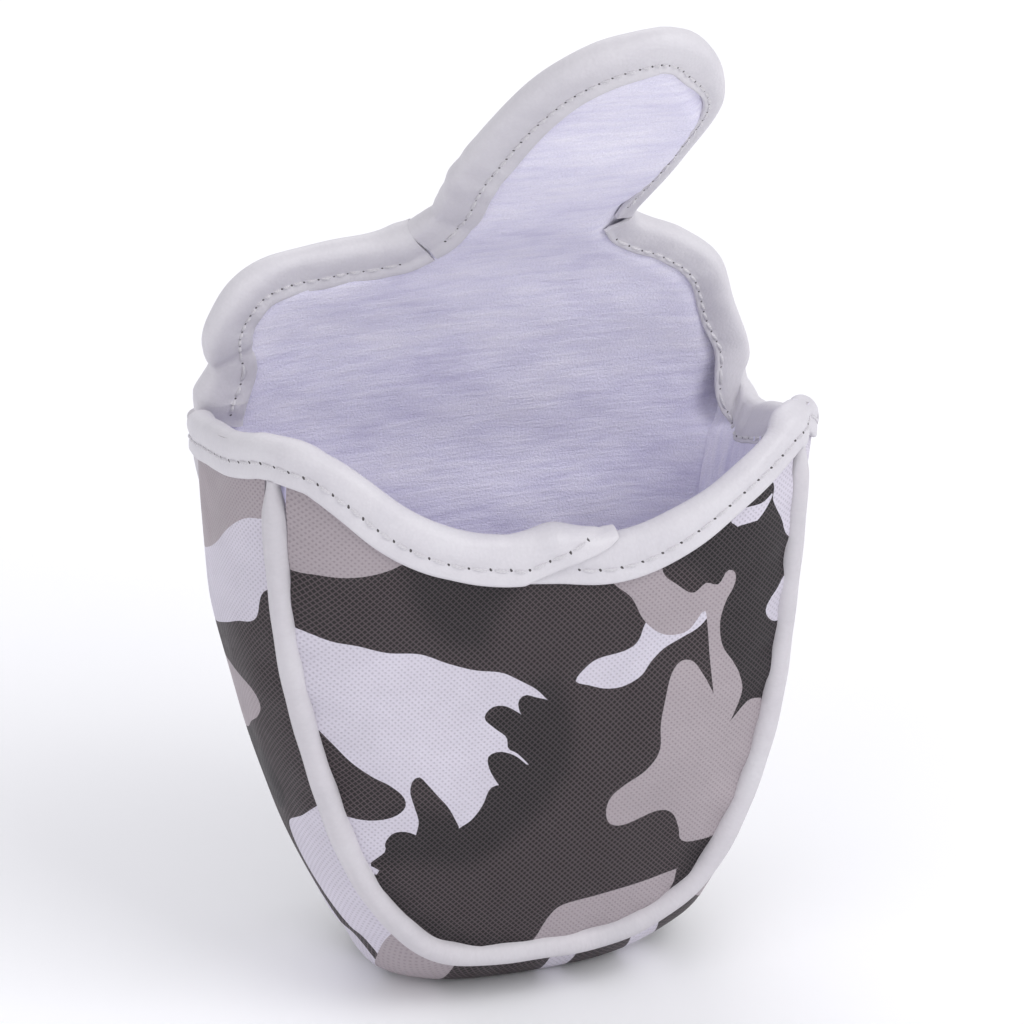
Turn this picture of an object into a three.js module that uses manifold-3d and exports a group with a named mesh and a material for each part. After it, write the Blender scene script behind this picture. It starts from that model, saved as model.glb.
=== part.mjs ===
// A mallet putter head cover, standing open on its base with its closing flap raised.
// Millimetres, +Z up. The front panel faces -Y and the player's left is -X.
// The origin is the middle of the flat patch under the gusset that the cover stands on.
//
// The cover is a pocket of three quilted panels: a front and a back panel joined by one
// long gusset that runs down one side, under the base and up the other side. Each panel is
// three layers: coated leather outside, foam padding, and plush lining inside. The seams
// carry a piping, and a folded binding closes the mouth and the edge of the flap.
import * as THREE from 'three';
import Module from 'manifold-3d';
import { mergeVertices } from 'three/addons/utils/BufferGeometryUtils.js';

// ---- Pocket ----
const HALF_WIDTH = 58.5; // widest half width of a panel, seam to seam
const HALF_DEPTH = 28; // half the distance between the front and the back seam
const TAPER_HEIGHT = 125; // height over the seam's lowest point where a panel is widest
const EDGE_POWER = 3.3; // squareness of the rounded lower corners
const SEAM_LIFT = 13.5; // the seam's lowest point over the floor
const SWAY = 2; // the lower half of the stuffed cover leans this far to the right
const FRONT_CROWN = 10; // how far the front panel swells past its seam
const MOUTH_CROWN = 4; // more swell near the mouth, which is pushed open
const BACK_CROWN = 5;
const SIDE_BULGE = 9; // the gusset's swell at the sides
const LEFT_MOUTH_BULGE = 0.62; // share of that swell left at the left side of the mouth
const BASE_BULGE = 17; // and under the base, before the floor flattens it
const SIDE_FACING = 0.5; // where the gusset faces sideways by less than this it has the base's swell
const BULGE_POWER = 3; // squareness of that swell from seam to seam
const FLOOR_TURN = 2; // height of the soft turn from the flat patch under the base
const LEFT_TOP = { front: 131.5, back: 117.5 }; // heights of the gusset's four top corners
const RIGHT_TOP = { front: 126.5, back: 104 };
const RIGHT_RIM_DIP = 3; // the right side of the mouth sags between its corners
const RIM_DIP_START = 0.93; // that sag starts here along the gusset, from 0 to 1
const BACK_FLARE = 4; // the back panel widens towards the flap

// ---- Flap, cut in one piece with the back panel ----
const LEAN_START = 105; // the back panel starts to lean forward here, along the cloth
const LEAN_END = 170;
const LEAN = THREE.MathUtils.degToRad(38);
const SHOULDER_CURL = 7; // the flap's outer corners curl towards the front
const FOLD_HEIGHT = 122; // middle of the fold between the pocket and the flap
const FOLD_SLOPE = -0.1; // the fold falls to the right
const TIP_FOLD = 187.5; // fold across the tongue
const FOLD_GAP = 2.8; // space left between solids at a fold
// Rows across the flap, bottom to top: left edge x, left length, right edge x, right length.
// Lengths run up the cloth from the level of the seam's lowest point.
const FLAP_ROWS = [
  [-60.5, 129.5, 64, 117.3],
  [-62.5, 141, 59.8, 131.5],
  [-58, 152.5, 54, 145],
  [-49, 160, 45.5, 153.5],
  [-36, 162.2, 38, 158],
  [-26, 163.2, 33.5, 161.5],
  [-18, 166.5, 31.5, 166],
  [-13.5, 174.5, 33.5, 174],
  [-11, 188.5, 37.5, 187],
  [-6, 205.5, 41, 201],
  [1, 220, 41.5, 210.5],
  [10.5, 228, 38.5, 220.5],
  [19, 231.7, 32, 229.2],
  [24, 232.7, 26, 232.5],
];

// ---- Layers, as depths under the outer skin ----
const LEATHER = [0, 1];
const FOAM = [1.8, 3.4];
const LINING = [4, 5.6];
const STACK = LINING[1];
const PATCH_CORNER = 0.36; // a panel patch turns from side to bottom here along its outline
const PANEL_INSET = 3.2; // leather edge to the seam, which the piping covers
const QUILT_INSET = 8; // foam and lining edge to the seam

// ---- Piping, binding and magnets ----
const PIPING_RADIUS = 2.8;
const PIPING_BORE = 1.7;
const CORD_RADIUS = 1.4;
const PIPING_SPAN = { front: [0.052, 0.947], back: [0.006, 0.994] }; // shares of each seam
const PIPING_STEPS = 34;
const PIPING_SIDES = 7;
const CORD_SIDES = 5;
const BINDING = 0.8; // thickness of the folded strip
const BINDING_ROLL = 2; // its height over the cloth's edge
const EASE = 0.4; // room between the strip and the cloth that it folds over
const PLUSH_EASE = 1.2; // more room on the lining side
const LAP_GAP = 0.35; // room between the rim strip's two ends where they lap
const RIM_LEG = 10; // how far the strip reaches down the front and sides
const FLAP_LEG = 8.2;
const JOIN_X = 14; // where the left end of the rim strip stops, on top of its right end
const JOIN_WIDTH = 13; // length of the lap
const LAP_BLEND = 5; // the left end rises over this length before the lap
const RIM_ENDS = 0.01; // share of the mouth left bare at the strip's outer ends
const RIM_STEPS = 34;
const TONGUE_ROOT = 6 / 13; // the row where the tongue starts, as a share of the flap's rows
const STRIP_GAP = 0.006; // bare ends of the flap's strips, in the same shares
const MAGNET_RADIUS = 7.5;
const MAGNET_THICKNESS = 1.6;
const MAGNET_WINDOW = 8.2; // radius of the hole in the foam
const FRONT_MAGNET = { x: 20, height: 86 };
const FLAP_MAGNET = { x: 20, length: 211 };

// Height of the mouth's edge along the front panel, before the binding: x, height.
const FRONT_RIM = [
  [-58.5, LEFT_TOP.front], [-50, 129], [-40, 122], [-28, 113.2], [-17, 108.5], [-4, 107],
  [9, 105], [20, 106], [32, 110.3], [46, 117.6], [53, 121.6], [58.5, RIGHT_TOP.front],
];

const vec = (x, y, z) => new THREE.Vector3(x, y, z);
const lerp = THREE.MathUtils.lerp;
const ramp = (x, start, end) => THREE.MathUtils.smoothstep(x, start, end);

function curveThrough(points) {
  return new THREE.CatmullRomCurve3(points, false, 'catmullrom');
}

// The normal of a skin at (u, v), from differences of a step each way; u x v points outwards.
function normalOf(skin, u, v, step) {
  const along = skin(u + step, v).sub(skin(u - step, v));
  const across = skin(u, v + step).sub(skin(u, v - step));
  return along.cross(across).normalize();
}

// ---- The seam outline and the two panels' skins ----

// How far the middle of a panel stands to the right.
function sway(height) {
  return SWAY * ramp(height, 0, 12) * (1 - ramp(height, 35, 95));
}

// 0 in the middle of a panel, 1 on its seam.
function edgeLevel(x, height) {
  const below = Math.max(0, (TAPER_HEIGHT - height) / TAPER_HEIGHT);
  return (Math.abs(x - sway(height)) / HALF_WIDTH) ** EDGE_POWER + below ** 2;
}

function crown(swell, x, height) {
  const level = Math.min(1, edgeLevel(x, height));
  return swell * (1 - level ** 1.6);
}

function frontSkin(x, height) {
  const swell = FRONT_CROWN + MOUTH_CROWN * ramp(height, 60, 130);
  return vec(x, -HALF_DEPTH - crown(swell, x, height), height + SEAM_LIFT);
}

// The middle line of the back panel and flap: depth and height at a length up the cloth.
const leanSteps = 4;
const leanTable = [{ y: HALF_DEPTH, z: 0 }];
for (let step = 0; step < 240 * leanSteps; step += 1) {
  const angle = LEAN * ramp((step + 0.5) / leanSteps, LEAN_START, LEAN_END);
  const last = leanTable[step];
  leanTable.push({
    y: last.y - Math.sin(angle) / leanSteps,
    z: last.z + Math.cos(angle) / leanSteps,
  });
}

function backLine(length) {
  const at = THREE.MathUtils.clamp(length * leanSteps, 0, leanTable.length - 1.001);
  const low = leanTable[Math.floor(at)];
  const high = leanTable[Math.floor(at) + 1];
  const part = at - Math.floor(at);
  return { y: lerp(low.y, high.y, part), z: lerp(low.z, high.z, part) };
}

function backSkin(x, length) {
  const line = backLine(length);
  const swell = BACK_CROWN * (1 - ramp(length, 90, 135));
  const curl = SHOULDER_CURL * ramp(length, 100, 150) * (1 - ramp(length, 145, 195));
  const side = Math.min(1.1, Math.abs(x) / HALF_WIDTH) ** 4;
  return vec(x, line.y + crown(swell, x, length) - curl * side, line.z + SEAM_LIFT);
}

// Points down the left side, round the bottom and up the right side of a panel.
function outlinePoints(leftTop, rightTop, inset, flare) {
  const points = [];
  const halfWidthAt = (height) => {
    const below = Math.max(0, (TAPER_HEIGHT - height) / TAPER_HEIGHT);
    return HALF_WIDTH * (1 - below ** 2) ** (1 / EDGE_POWER) + flare * ramp(height, 80, 125);
  };
  const heightAt = (angle) => TAPER_HEIGHT * (1 - Math.cos(angle));
  const turn = [];
  for (let step = 1; step <= 24; step += 1) {
    const height = heightAt((Math.PI / 2) * (step / 24) ** 1.5);
    turn.push([halfWidthAt(height), height]);
  }
  const lower = [];
  for (let step = 1; step <= 3; step += 1) {
    lower.push([turn[0][0] * (step / 4), turn[0][1] * (step / 4) ** EDGE_POWER]);
  }
  const below = (top) => turn.filter(([, height]) => height < top - 1);
  const side = (top) => [...lower, ...below(top), [halfWidthAt(top), top]];
  side(leftTop).reverse().forEach(([x, height]) => points.push([sway(height) - x, height]));
  points.push([0, 0]);
  side(rightTop).forEach(([x, height]) => points.push([sway(height) + x, height]));
  if (inset === 0) return points;
  return points.map(([x, height], index) => {
    const before = points[Math.max(0, index - 1)];
    const after = points[Math.min(points.length - 1, index + 1)];
    const run = Math.hypot(after[0] - before[0], after[1] - before[1]);
    return [
      x - (inset * (after[1] - before[1])) / run,
      height + (inset * (after[0] - before[0])) / run,
    ];
  });
}

// Closed shell of a layer: place(u, v) gives the outer skin, u x v pointing outwards.
function layer(place, columns, rows, [near, far]) {
  const step = 0.004;
  const outer = [];
  const inner = [];
  for (let row = 0; row <= rows; row += 1) {
    for (let column = 0; column <= columns; column += 1) {
      const u = column / columns;
      const v = row / rows;
      const point = place(u, v);
      const [midU, midV] = [u, v].map((t) => THREE.MathUtils.clamp(t, step, 1 - step));
      const inward = normalOf(place, midU, midV, step).negate();
      outer.push(point.clone().addScaledVector(inward, near));
      inner.push(point.clone().addScaledVector(inward, far));
    }
  }
  const at = (row, column) => row * (columns + 1) + column;
  const shift = outer.length;
  const faces = [];
  const quad = (a, b, c, d) => faces.push(a, b, c, a, c, d);
  for (let row = 0; row < rows; row += 1) {
    for (let column = 0; column < columns; column += 1) {
      const corners = [
        at(row, column), at(row, column + 1), at(row + 1, column + 1), at(row + 1, column),
      ];
      quad(...corners);
      quad(...corners.reverse().map((index) => index + shift));
    }
  }
  const rim = [];
  for (let column = 0; column < columns; column += 1) rim.push(at(0, column));
  for (let row = 0; row < rows; row += 1) rim.push(at(row, columns));
  for (let column = columns; column > 0; column -= 1) rim.push(at(rows, column));
  for (let row = rows; row > 0; row -= 1) rim.push(at(row, 0));
  rim.forEach((index, i) => {
    const next = rim[(i + 1) % rim.length];
    quad(next, index, index + shift, next + shift);
  });
  return solid([...outer, ...inner], faces);
}

function solid(points, faces) {
  const geometry = new THREE.BufferGeometry();
  const numbers = points.flatMap((point) => point.toArray());
  geometry.setAttribute('position', new THREE.Float32BufferAttribute(numbers, 3));
  geometry.setIndex(faces);
  return geometry;
}

// A panel patch between four edges in panel coordinates, mapped onto a skin.
function patch(skin, bottom, left, right, top) {
  return (u, v) => {
    const [b, t, l, r] = [bottom.getPoint(u), top.getPoint(u), left.getPoint(v), right.getPoint(v)];
    const mix = (axis) => lerp(b[axis], t[axis], v) + lerp(l[axis], r[axis], u)
      - lerp(
        lerp(bottom.getPoint(0)[axis], bottom.getPoint(1)[axis], u),
        lerp(top.getPoint(0)[axis], top.getPoint(1)[axis], u),
        v,
      );
    return skin(mix('x'), mix('y'));
  };
}

class ArcCurve extends THREE.Curve {
  constructor(curve, from, to) {
    super();
    Object.assign(this, { curve, from, to });
  }

  getPoint(t) {
    return this.curve.getPointAt(lerp(this.from, this.to, t));
  }
}

// Splits an inset outline into the bottom and two sides of a patch, closed by a top edge.
function panelPatch(skin, outline, topHeight, mirrored) {
  const flat = new THREE.CatmullRomCurve3(outline.map(([x, y]) => vec(x, y, 0)), false);
  flat.arcLengthDivisions = 600;
  const cornerLeft = PATCH_CORNER;
  const cornerRight = 1 - cornerLeft;
  let left = new ArcCurve(flat, cornerLeft, 0);
  let right = new ArcCurve(flat, cornerRight, 1);
  let bottom = new ArcCurve(flat, cornerLeft, cornerRight);
  const [start, end] = [flat.getPointAt(0), flat.getPointAt(1)];
  const crest = [];
  for (let step = 0; step <= 16; step += 1) {
    const x = lerp(start.x, end.x, step / 16);
    crest.push(vec(x, topHeight(x), 0));
  }
  crest[0].copy(start);
  crest[16].copy(end);
  let top = curveThrough(crest);
  if (mirrored) {
    [left, right] = [right, left];
    bottom = new ArcCurve(flat, cornerRight, cornerLeft);
    top = curveThrough(crest.reverse());
  }
  return patch(skin, bottom, left, right, top);
}

const rimCurve = curveThrough(FRONT_RIM.map(([x, height]) => vec(x, height, 0)));
function rimHeight(x) {
  let [low, high] = [0, 1];
  for (let round = 0; round < 30; round += 1) {
    const middle = (low + high) / 2;
    if (rimCurve.getPoint(middle).x < x) low = middle;
    else high = middle;
  }
  return rimCurve.getPoint(low).y;
}

const foldHeight = (x) => FOLD_HEIGHT + FOLD_SLOPE * x;
const belowFold = (x) => foldHeight(x) - FOLD_GAP / 2;

function frontPatch(inset) {
  const leftTop = rimHeight(-HALF_WIDTH + inset);
  const rightTop = rimHeight(HALF_WIDTH - inset);
  return panelPatch(frontSkin, outlinePoints(leftTop, rightTop, inset, 0), rimHeight, false);
}

function backPatch(inset) {
  const edge = HALF_WIDTH + BACK_FLARE - inset;
  const outline = outlinePoints(belowFold(-edge), belowFold(edge), inset, BACK_FLARE);
  return panelPatch(backSkin, outline, belowFold, true);
}

// ---- The gusset ----

function seamCurve(side) {
  const flare = side === 'back' ? BACK_FLARE : 0;
  const flat = outlinePoints(LEFT_TOP[side], RIGHT_TOP[side], 0, flare);
  const place = side === 'back'
    ? ([x, height]) => backSkin(x, height)
    : ([x, height]) => vec(x, -HALF_DEPTH, height + SEAM_LIFT);
  const curve = curveThrough(flat.map(place));
  curve.arcLengthDivisions = 600;
  return curve;
}
const frontSeam = seamCurve('front');
const backSeam = seamCurve('back');

// Flattens what would be under the floor, with a soft turn up from it.
function onFloor(z) {
  if (z > FLOOR_TURN) return z;
  return Math.max(0, z + FLOOR_TURN) ** 2 / (4 * FLOOR_TURN);
}

// along: 0 at the left mouth corner, 1 at the right. across: 1 at the front seam, -1 at the back.
function gussetSkin(along, across) {
  const point = backSeam.getPointAt(along).lerp(frontSeam.getPointAt(along), (across + 1) / 2);
  const run = frontSeam.getTangentAt(along).add(backSeam.getTangentAt(along));
  const outward = vec(run.z, 0, -run.x).normalize();
  const share = lerp(LEFT_MOUTH_BULGE, 1, ramp(along, 0, 0.15));
  const bulge = share * lerp(BASE_BULGE, SIDE_BULGE, ramp(Math.abs(outward.x), SIDE_FACING, 1));
  point.addScaledVector(outward, bulge * (1 - Math.abs(across) ** BULGE_POWER));
  point.z -= RIGHT_RIM_DIP * ramp(along, RIM_DIP_START, 1) * (1 - across ** 2);
  point.z = onFloor(point.z);
  return point;
}

function gussetPatch(inset) {
  const reach = 1 - inset / HALF_DEPTH;
  return (u, v) => gussetSkin(u, lerp(-reach, reach, v));
}

// ---- The flap ----

const leftRows = curveThrough(FLAP_ROWS.map(([x, length]) => vec(x, length, 0)));
const rightRows = curveThrough(FLAP_ROWS.map((row) => vec(row[2], row[3], 0)));

// Where the tongue's two edges reach a length up the cloth, as a fraction of the rows.
function rowAt(curve, length) {
  let [low, high] = [0.4, 1];
  for (let round = 0; round < 30; round += 1) {
    const middle = (low + high) / 2;
    if (curve.getPoint(middle).y < length) low = middle;
    else high = middle;
  }
  return low;
}

function flapPatch(fromRow, toRow) {
  return (u, v) => {
    const row = (curve, side) => curve.getPoint(lerp(fromRow[side], toRow[side], v));
    const left = row(leftRows, 'left');
    const right = row(rightRows, 'right');
    return backSkin(lerp(right.x, left.x, u), lerp(right.y, left.y, u));
  };
}

function rowsAt(length) {
  return { left: rowAt(leftRows, length), right: rowAt(rightRows, length) };
}
const flapStart = { left: 0, right: 0 };
const flapStop = rowsAt(TIP_FOLD - FOLD_GAP / 2);
const tipStart = rowsAt(TIP_FOLD + FOLD_GAP / 2);
const flapEnd = { left: 1, right: 1 };

// ---- Folded binding strips ----

// Section of a strip folded over an edge: out is along the skin's normal, over is past the
// edge. grow enlarges it to lap over another strip.
function bindingSection(leg, grow) {
  const outside = EASE + BINDING + grow;
  const inside = -STACK - PLUSH_EASE - BINDING - grow;
  const top = EASE + (grow * (BINDING_ROLL + LAP_GAP)) / (BINDING + LAP_GAP);
  const middle = (outside + inside) / 2;
  const corner = BINDING_ROLL * 0.7;
  return [
    [outside, -leg], [outside, top], [outside - corner, top + corner],
    [middle, top + BINDING_ROLL], [inside + corner, top + corner], [inside, top],
    [inside, -leg], [inside + BINDING, -leg], [inside + BINDING, top],
    [outside - BINDING, top], [outside - BINDING, -leg],
  ];
}

// Sweeps the binding's section along samples of point, out and over directions.
function binding(leg, samples) {
  const rings = samples.map(({ grow = 0 }) => bindingSection(leg, grow));
  const section = rings[0];
  const size = section.length;
  const points = samples.flatMap(({ point, out, over }, ring) => rings[ring]
    .map(([a, b]) => point.clone().addScaledVector(out, a).addScaledVector(over, b)));
  const faces = [];
  for (let ring = 0; ring < samples.length - 1; ring += 1) {
    for (let i = 0; i < size; i += 1) {
      const [a, b] = [ring * size + i, ring * size + ((i + 1) % size)];
      faces.push(a, b + size, b, a, a + size, b + size);
    }
  }
  const contour = section.map(([a, b]) => new THREE.Vector2(a, b));
  const last = (samples.length - 1) * size;
  THREE.ShapeUtils.triangulateShape(contour, []).forEach(([a, b, c]) => {
    faces.push(a, b, c, last + a, last + c, last + b);
  });
  return solid(points, faces);
}

// Samples along an edge of a skin. The over direction points away from the cloth.
function edgeSamples(edge, normal, count, flip) {
  const samples = [];
  for (let step = 0; step <= count; step += 1) {
    const t = step / count;
    const point = edge(t);
    const run = edge(Math.min(1, t + 0.004)).sub(edge(Math.max(0, t - 0.004))).normalize();
    const out = normal(t);
    out.addScaledVector(run, -out.dot(run)).normalize();
    const over = run.clone().cross(out).multiplyScalar(flip).normalize();
    samples.push({ point, out, over });
  }
  return flip > 0 ? samples.reverse() : samples;
}

// The mouth, as points and skin normals: left gusset edge, front rim, right gusset edge.
const mouthPoints = [];
const mouthNormals = [];
function mouthAlongGusset(along, steps) {
  for (const across of steps) {
    mouthPoints.push(gussetSkin(along, across));
    const level = THREE.MathUtils.clamp(along, 0.01, 0.99);
    mouthNormals.push(normalOf(gussetSkin, level, across, 0.01));
  }
}
mouthAlongGusset(0, [-0.45, -0.15, 0.15, 0.45, 0.7, 0.88]);
for (const x of [-55, -50, -42, -33, -25, -17, -8, 1, 10, 19, 28, 37, 46, 52, 55]) {
  mouthPoints.push(frontSkin(x, rimHeight(x)));
  mouthNormals.push(normalOf(frontSkin, x, rimHeight(x) - 6, 0.5));
}
mouthAlongGusset(1, [0.88, 0.7, 0.45, 0.15, -0.15, -0.45]);
const mouth = curveThrough(mouthPoints);
const mouthOut = curveThrough(mouthNormals);

// The fraction along the mouth where its front stretch crosses x.
function fractionAtX(x) {
  let [low, high] = [0.3, 0.7];
  for (let round = 0; round < 30; round += 1) {
    const middle = (low + high) / 2;
    if (mouth.getPoint(middle).x < x) low = middle;
    else high = middle;
  }
  return low;
}

function mouthSamples(from, to, count) {
  const edge = (t) => mouth.getPoint(lerp(from, to, t));
  const normal = (t) => mouthOut.getPoint(lerp(from, to, t));
  return edgeSamples(edge, normal, count, -1);
}

const backNormal = (x, length) => normalOf(backSkin, x, length, 0.5).negate();

function flapSamples(curve, from, to, count, flip) {
  const at = (t) => curve.getPoint(lerp(from, to, t));
  const edge = (t) => backSkin(at(t).x, at(t).y);
  const normal = (t) => backNormal(at(t).x, at(t).y);
  return edgeSamples(edge, normal, count, flip);
}

// ---- Assembly ----

const wasm = await Module();
wasm.setup();

function toManifold(geometry) {
  const bare = geometry.clone();
  bare.deleteAttribute('normal');
  bare.deleteAttribute('uv');
  const merged = mergeVertices(bare, 1e-4);
  return new wasm.Manifold(new wasm.Mesh({
    numProp: 3,
    vertProperties: new Float32Array(merged.attributes.position.array),
    triVerts: new Uint32Array(merged.index.array),
  }));
}

function cut(geometry, tool) {
  const mesh = toManifold(geometry).subtract(toManifold(tool)).getMesh();
  const result = new THREE.BufferGeometry();
  result.setAttribute('position', new THREE.BufferAttribute(mesh.vertProperties, 3));
  result.setIndex(new THREE.BufferAttribute(mesh.triVerts, 1));
  return result;
}

const FINISHES = {
  leather: { color: 0x8a8184, roughness: 0.55, metalness: 0 },
  strip: { color: 0xe6e3e8, roughness: 0.5, metalness: 0 },
  plush: { color: 0xd0cbe0, roughness: 0.95, metalness: 0 },
  foam: { color: 0xe8e2cf, roughness: 1, metalness: 0 },
  cord: { color: 0xd8d4c8, roughness: 0.9, metalness: 0 },
  magnet: { color: 0x9b9da1, roughness: 0.35, metalness: 1 },
};

const cover = new THREE.Group();
function add(name, geometry, finish) {
  const mesh = new THREE.Mesh(geometry, new THREE.MeshStandardMaterial(FINISHES[finish]));
  mesh.name = name;
  cover.add(mesh);
}

// A disc lying in a skin, its axis along the skin's normal, centred at a depth.
function disc(radius, thickness, point, out, depth) {
  const geometry = new THREE.CylinderGeometry(radius, radius, thickness, 20);
  const turn = new THREE.Quaternion().setFromUnitVectors(vec(0, 1, 0), out);
  geometry.applyQuaternion(turn);
  const centre = point.clone().addScaledVector(out, -depth);
  geometry.translate(centre.x, centre.y, centre.z);
  return geometry;
}

const magnetDepth = (FOAM[0] + FOAM[1]) / 2;
const frontMagnetPoint = frontSkin(FRONT_MAGNET.x, FRONT_MAGNET.height);
const frontOut = normalOf(frontSkin, FRONT_MAGNET.x, FRONT_MAGNET.height, 0.5);
const flapMagnetPoint = backSkin(FLAP_MAGNET.x, FLAP_MAGNET.length);
const flapOut = backNormal(FLAP_MAGNET.x, FLAP_MAGNET.length);
const windowDepth = 8;
const frontWindow = disc(MAGNET_WINDOW, windowDepth, frontMagnetPoint, frontOut, magnetDepth);
const flapWindow = disc(MAGNET_WINDOW, windowDepth, flapMagnetPoint, flapOut, magnetDepth);

const panels = {
  front: { leather: frontPatch(PANEL_INSET), quilt: frontPatch(QUILT_INSET), grid: [12, 10] },
  back: { leather: backPatch(PANEL_INSET), quilt: backPatch(QUILT_INSET), grid: [12, 10] },
  gusset: { leather: gussetPatch(PANEL_INSET), quilt: gussetPatch(QUILT_INSET), grid: [32, 8] },
  flap: { leather: flapPatch(flapStart, flapStop), grid: [8, 14] },
  flap_tip: { leather: flapPatch(tipStart, flapEnd), grid: [6, 8] },
};
const windows = { front: frontWindow, flap_tip: flapWindow };
for (const [name, { leather, quilt = leather, grid: [columns, rows] }] of Object.entries(panels)) {
  add(`${name}_panel`, layer(leather, columns, rows, LEATHER), 'leather');
  const foam = layer(quilt, columns, rows, FOAM);
  add(`${name}_padding`, windows[name] ? cut(foam, windows[name]) : foam, 'foam');
  add(`${name}_lining`, layer(quilt, columns, rows, LINING), 'plush');
}
add('front_magnet', disc(MAGNET_RADIUS, MAGNET_THICKNESS, frontMagnetPoint, frontOut, magnetDepth), 'magnet');
add('flap_magnet', disc(MAGNET_RADIUS, MAGNET_THICKNESS, flapMagnetPoint, flapOut, magnetDepth), 'magnet');

// Piping: a cord in a wrapped strip, from just under the rim binding round to the other side.
function ringShape(radius, bore, sides) {
  const circle = (size) => Array.from({ length: sides }, (_, i) => {
    const angle = (2 * Math.PI * i) / sides;
    return new THREE.Vector2(size * Math.cos(angle), size * Math.sin(angle));
  });
  const shape = new THREE.Shape(circle(radius));
  if (bore > 0) shape.holes.push(new THREE.Path(circle(bore).reverse()));
  return shape;
}

function piping(seam, [from, to], radius, bore, sides) {
  const steps = PIPING_STEPS;
  const points = [];
  for (let step = 0; step <= steps; step += 1) {
    points.push(seam.getPointAt(lerp(from, to, step / steps)));
  }
  return new THREE.ExtrudeGeometry(ringShape(radius, bore, sides), {
    steps, bevelEnabled: false, extrudePath: curveThrough(points),
  });
}
for (const [name, seam] of Object.entries({ front: frontSeam, back: backSeam })) {
  const span = PIPING_SPAN[name];
  const sleeve = piping(seam, span, PIPING_RADIUS, PIPING_BORE, PIPING_SIDES);
  add(`${name}_piping_cover`, sleeve, 'strip');
  add(`${name}_piping_cord`, piping(seam, span, CORD_RADIUS, 0, CORD_SIDES), 'cord');
}

// Bindings. The mouth's strip ends at the front, where its left end laps over its right end.
const joinAt = fractionAtX(JOIN_X);
const lapStart = fractionAtX(JOIN_X - JOIN_WIDTH);
const lapRise = fractionAtX(JOIN_X - JOIN_WIDTH - LAP_BLEND);
const leftRim = mouthSamples(RIM_ENDS, joinAt, RIM_STEPS);
leftRim.forEach((sample, step) => {
  const at = lerp(RIM_ENDS, joinAt, step / RIM_STEPS);
  sample.grow = (LAP_GAP + BINDING) * ramp(at, lapRise, lapStart);
});
add('rim_binding_left', binding(RIM_LEG, leftRim), 'strip');
add('rim_binding_right', binding(RIM_LEG, mouthSamples(lapStart, 1 - RIM_ENDS, RIM_STEPS)), 'strip');
const leftShoulder = flapSamples(leftRows, STRIP_GAP, TONGUE_ROOT - STRIP_GAP, 18, 1);
const leftFlap = flapSamples(leftRows, TONGUE_ROOT + STRIP_GAP, flapStop.left, 6, 1);
const rightFlap = flapSamples(rightRows, STRIP_GAP, flapStop.right, 24, -1);
add('left_shoulder_binding', binding(FLAP_LEG, leftShoulder), 'strip');
add('left_flap_binding', binding(FLAP_LEG, leftFlap), 'strip');
add('right_flap_binding', binding(FLAP_LEG, rightFlap), 'strip');

// The tip's strip runs up the tongue's left edge, round the tip and down its right edge.
const tipEdge = [];
const tipSteps = 10;
for (let step = 0; step <= tipSteps; step += 1) {
  tipEdge.push(leftRows.getPoint(lerp(tipStart.left, 1, step / tipSteps)));
}
for (let step = tipSteps; step >= 0; step -= 1) {
  tipEdge.push(rightRows.getPoint(lerp(tipStart.right, 1, step / tipSteps)));
}
add('flap_tip_binding', binding(FLAP_LEG, flapSamples(curveThrough(tipEdge), 0, 1, 26, 1)), 'strip');

export default cover;
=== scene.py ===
"""A mallet putter head cover, standing open with its closing flap raised.

Three quilted panels (front, back with flap, and one long gusset) are joined by piped seams.
A folded strip binds the mouth and the flap. Lengths in this file are millimetres in the
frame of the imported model, and become metres when a mesh is made.
"""

import math

import bpy
import numpy as np
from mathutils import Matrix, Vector
from mathutils.geometry import delaunay_2d_cdt


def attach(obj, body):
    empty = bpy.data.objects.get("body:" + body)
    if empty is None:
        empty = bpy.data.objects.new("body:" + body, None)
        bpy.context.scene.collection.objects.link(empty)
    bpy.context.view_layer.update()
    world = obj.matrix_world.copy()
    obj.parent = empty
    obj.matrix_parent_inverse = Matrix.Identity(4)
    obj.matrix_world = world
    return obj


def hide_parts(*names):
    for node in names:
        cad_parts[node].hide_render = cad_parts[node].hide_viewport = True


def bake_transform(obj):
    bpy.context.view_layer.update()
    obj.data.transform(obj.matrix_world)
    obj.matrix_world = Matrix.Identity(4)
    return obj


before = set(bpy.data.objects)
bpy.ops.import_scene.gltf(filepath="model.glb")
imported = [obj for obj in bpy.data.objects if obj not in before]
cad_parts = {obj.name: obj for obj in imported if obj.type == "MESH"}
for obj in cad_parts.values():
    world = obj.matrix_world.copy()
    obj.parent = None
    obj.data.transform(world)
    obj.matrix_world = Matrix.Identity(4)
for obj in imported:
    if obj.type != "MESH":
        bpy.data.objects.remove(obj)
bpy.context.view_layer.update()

MM = 0.001

# ---- Pocket ----
HALF_WIDTH = 58.5        # from the middle to a side seam
HALF_DEPTH = 28.0        # from the middle to the front or back seam
TAPER_HEIGHT = 125.0     # the seams run straight up above this
EDGE_POWER = 3.3         # how square the panels' outline is
SWAY = 2.0
SEAM_LIFT = 13.5         # height of the seams' lowest point
FRONT_CROWN = 10.0       # swell of the front panel, and how much more it has at the mouth
MOUTH_CROWN = 4.0
BACK_CROWN = 5.0
SIDE_BULGE = 9.0         # swell of the gusset at the sides
LEFT_MOUTH_BULGE = 0.62  # share of it that is left at the mouth's left corner
BASE_BULGE = 17.0        # swell of the gusset under the base
SIDE_FACING = 0.5        # where the gusset faces sideways by less, it has the base's swell
BULGE_POWER = 3
FLOOR_TURN = 2.0         # the base flattens out below this height
BACK_FLARE = 4.0         # how much wider the back is at the mouth
LEFT_TOP = {"front": 131.5, "back": 117.5}
RIGHT_TOP = {"front": 126.5, "back": 104.0}
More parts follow.
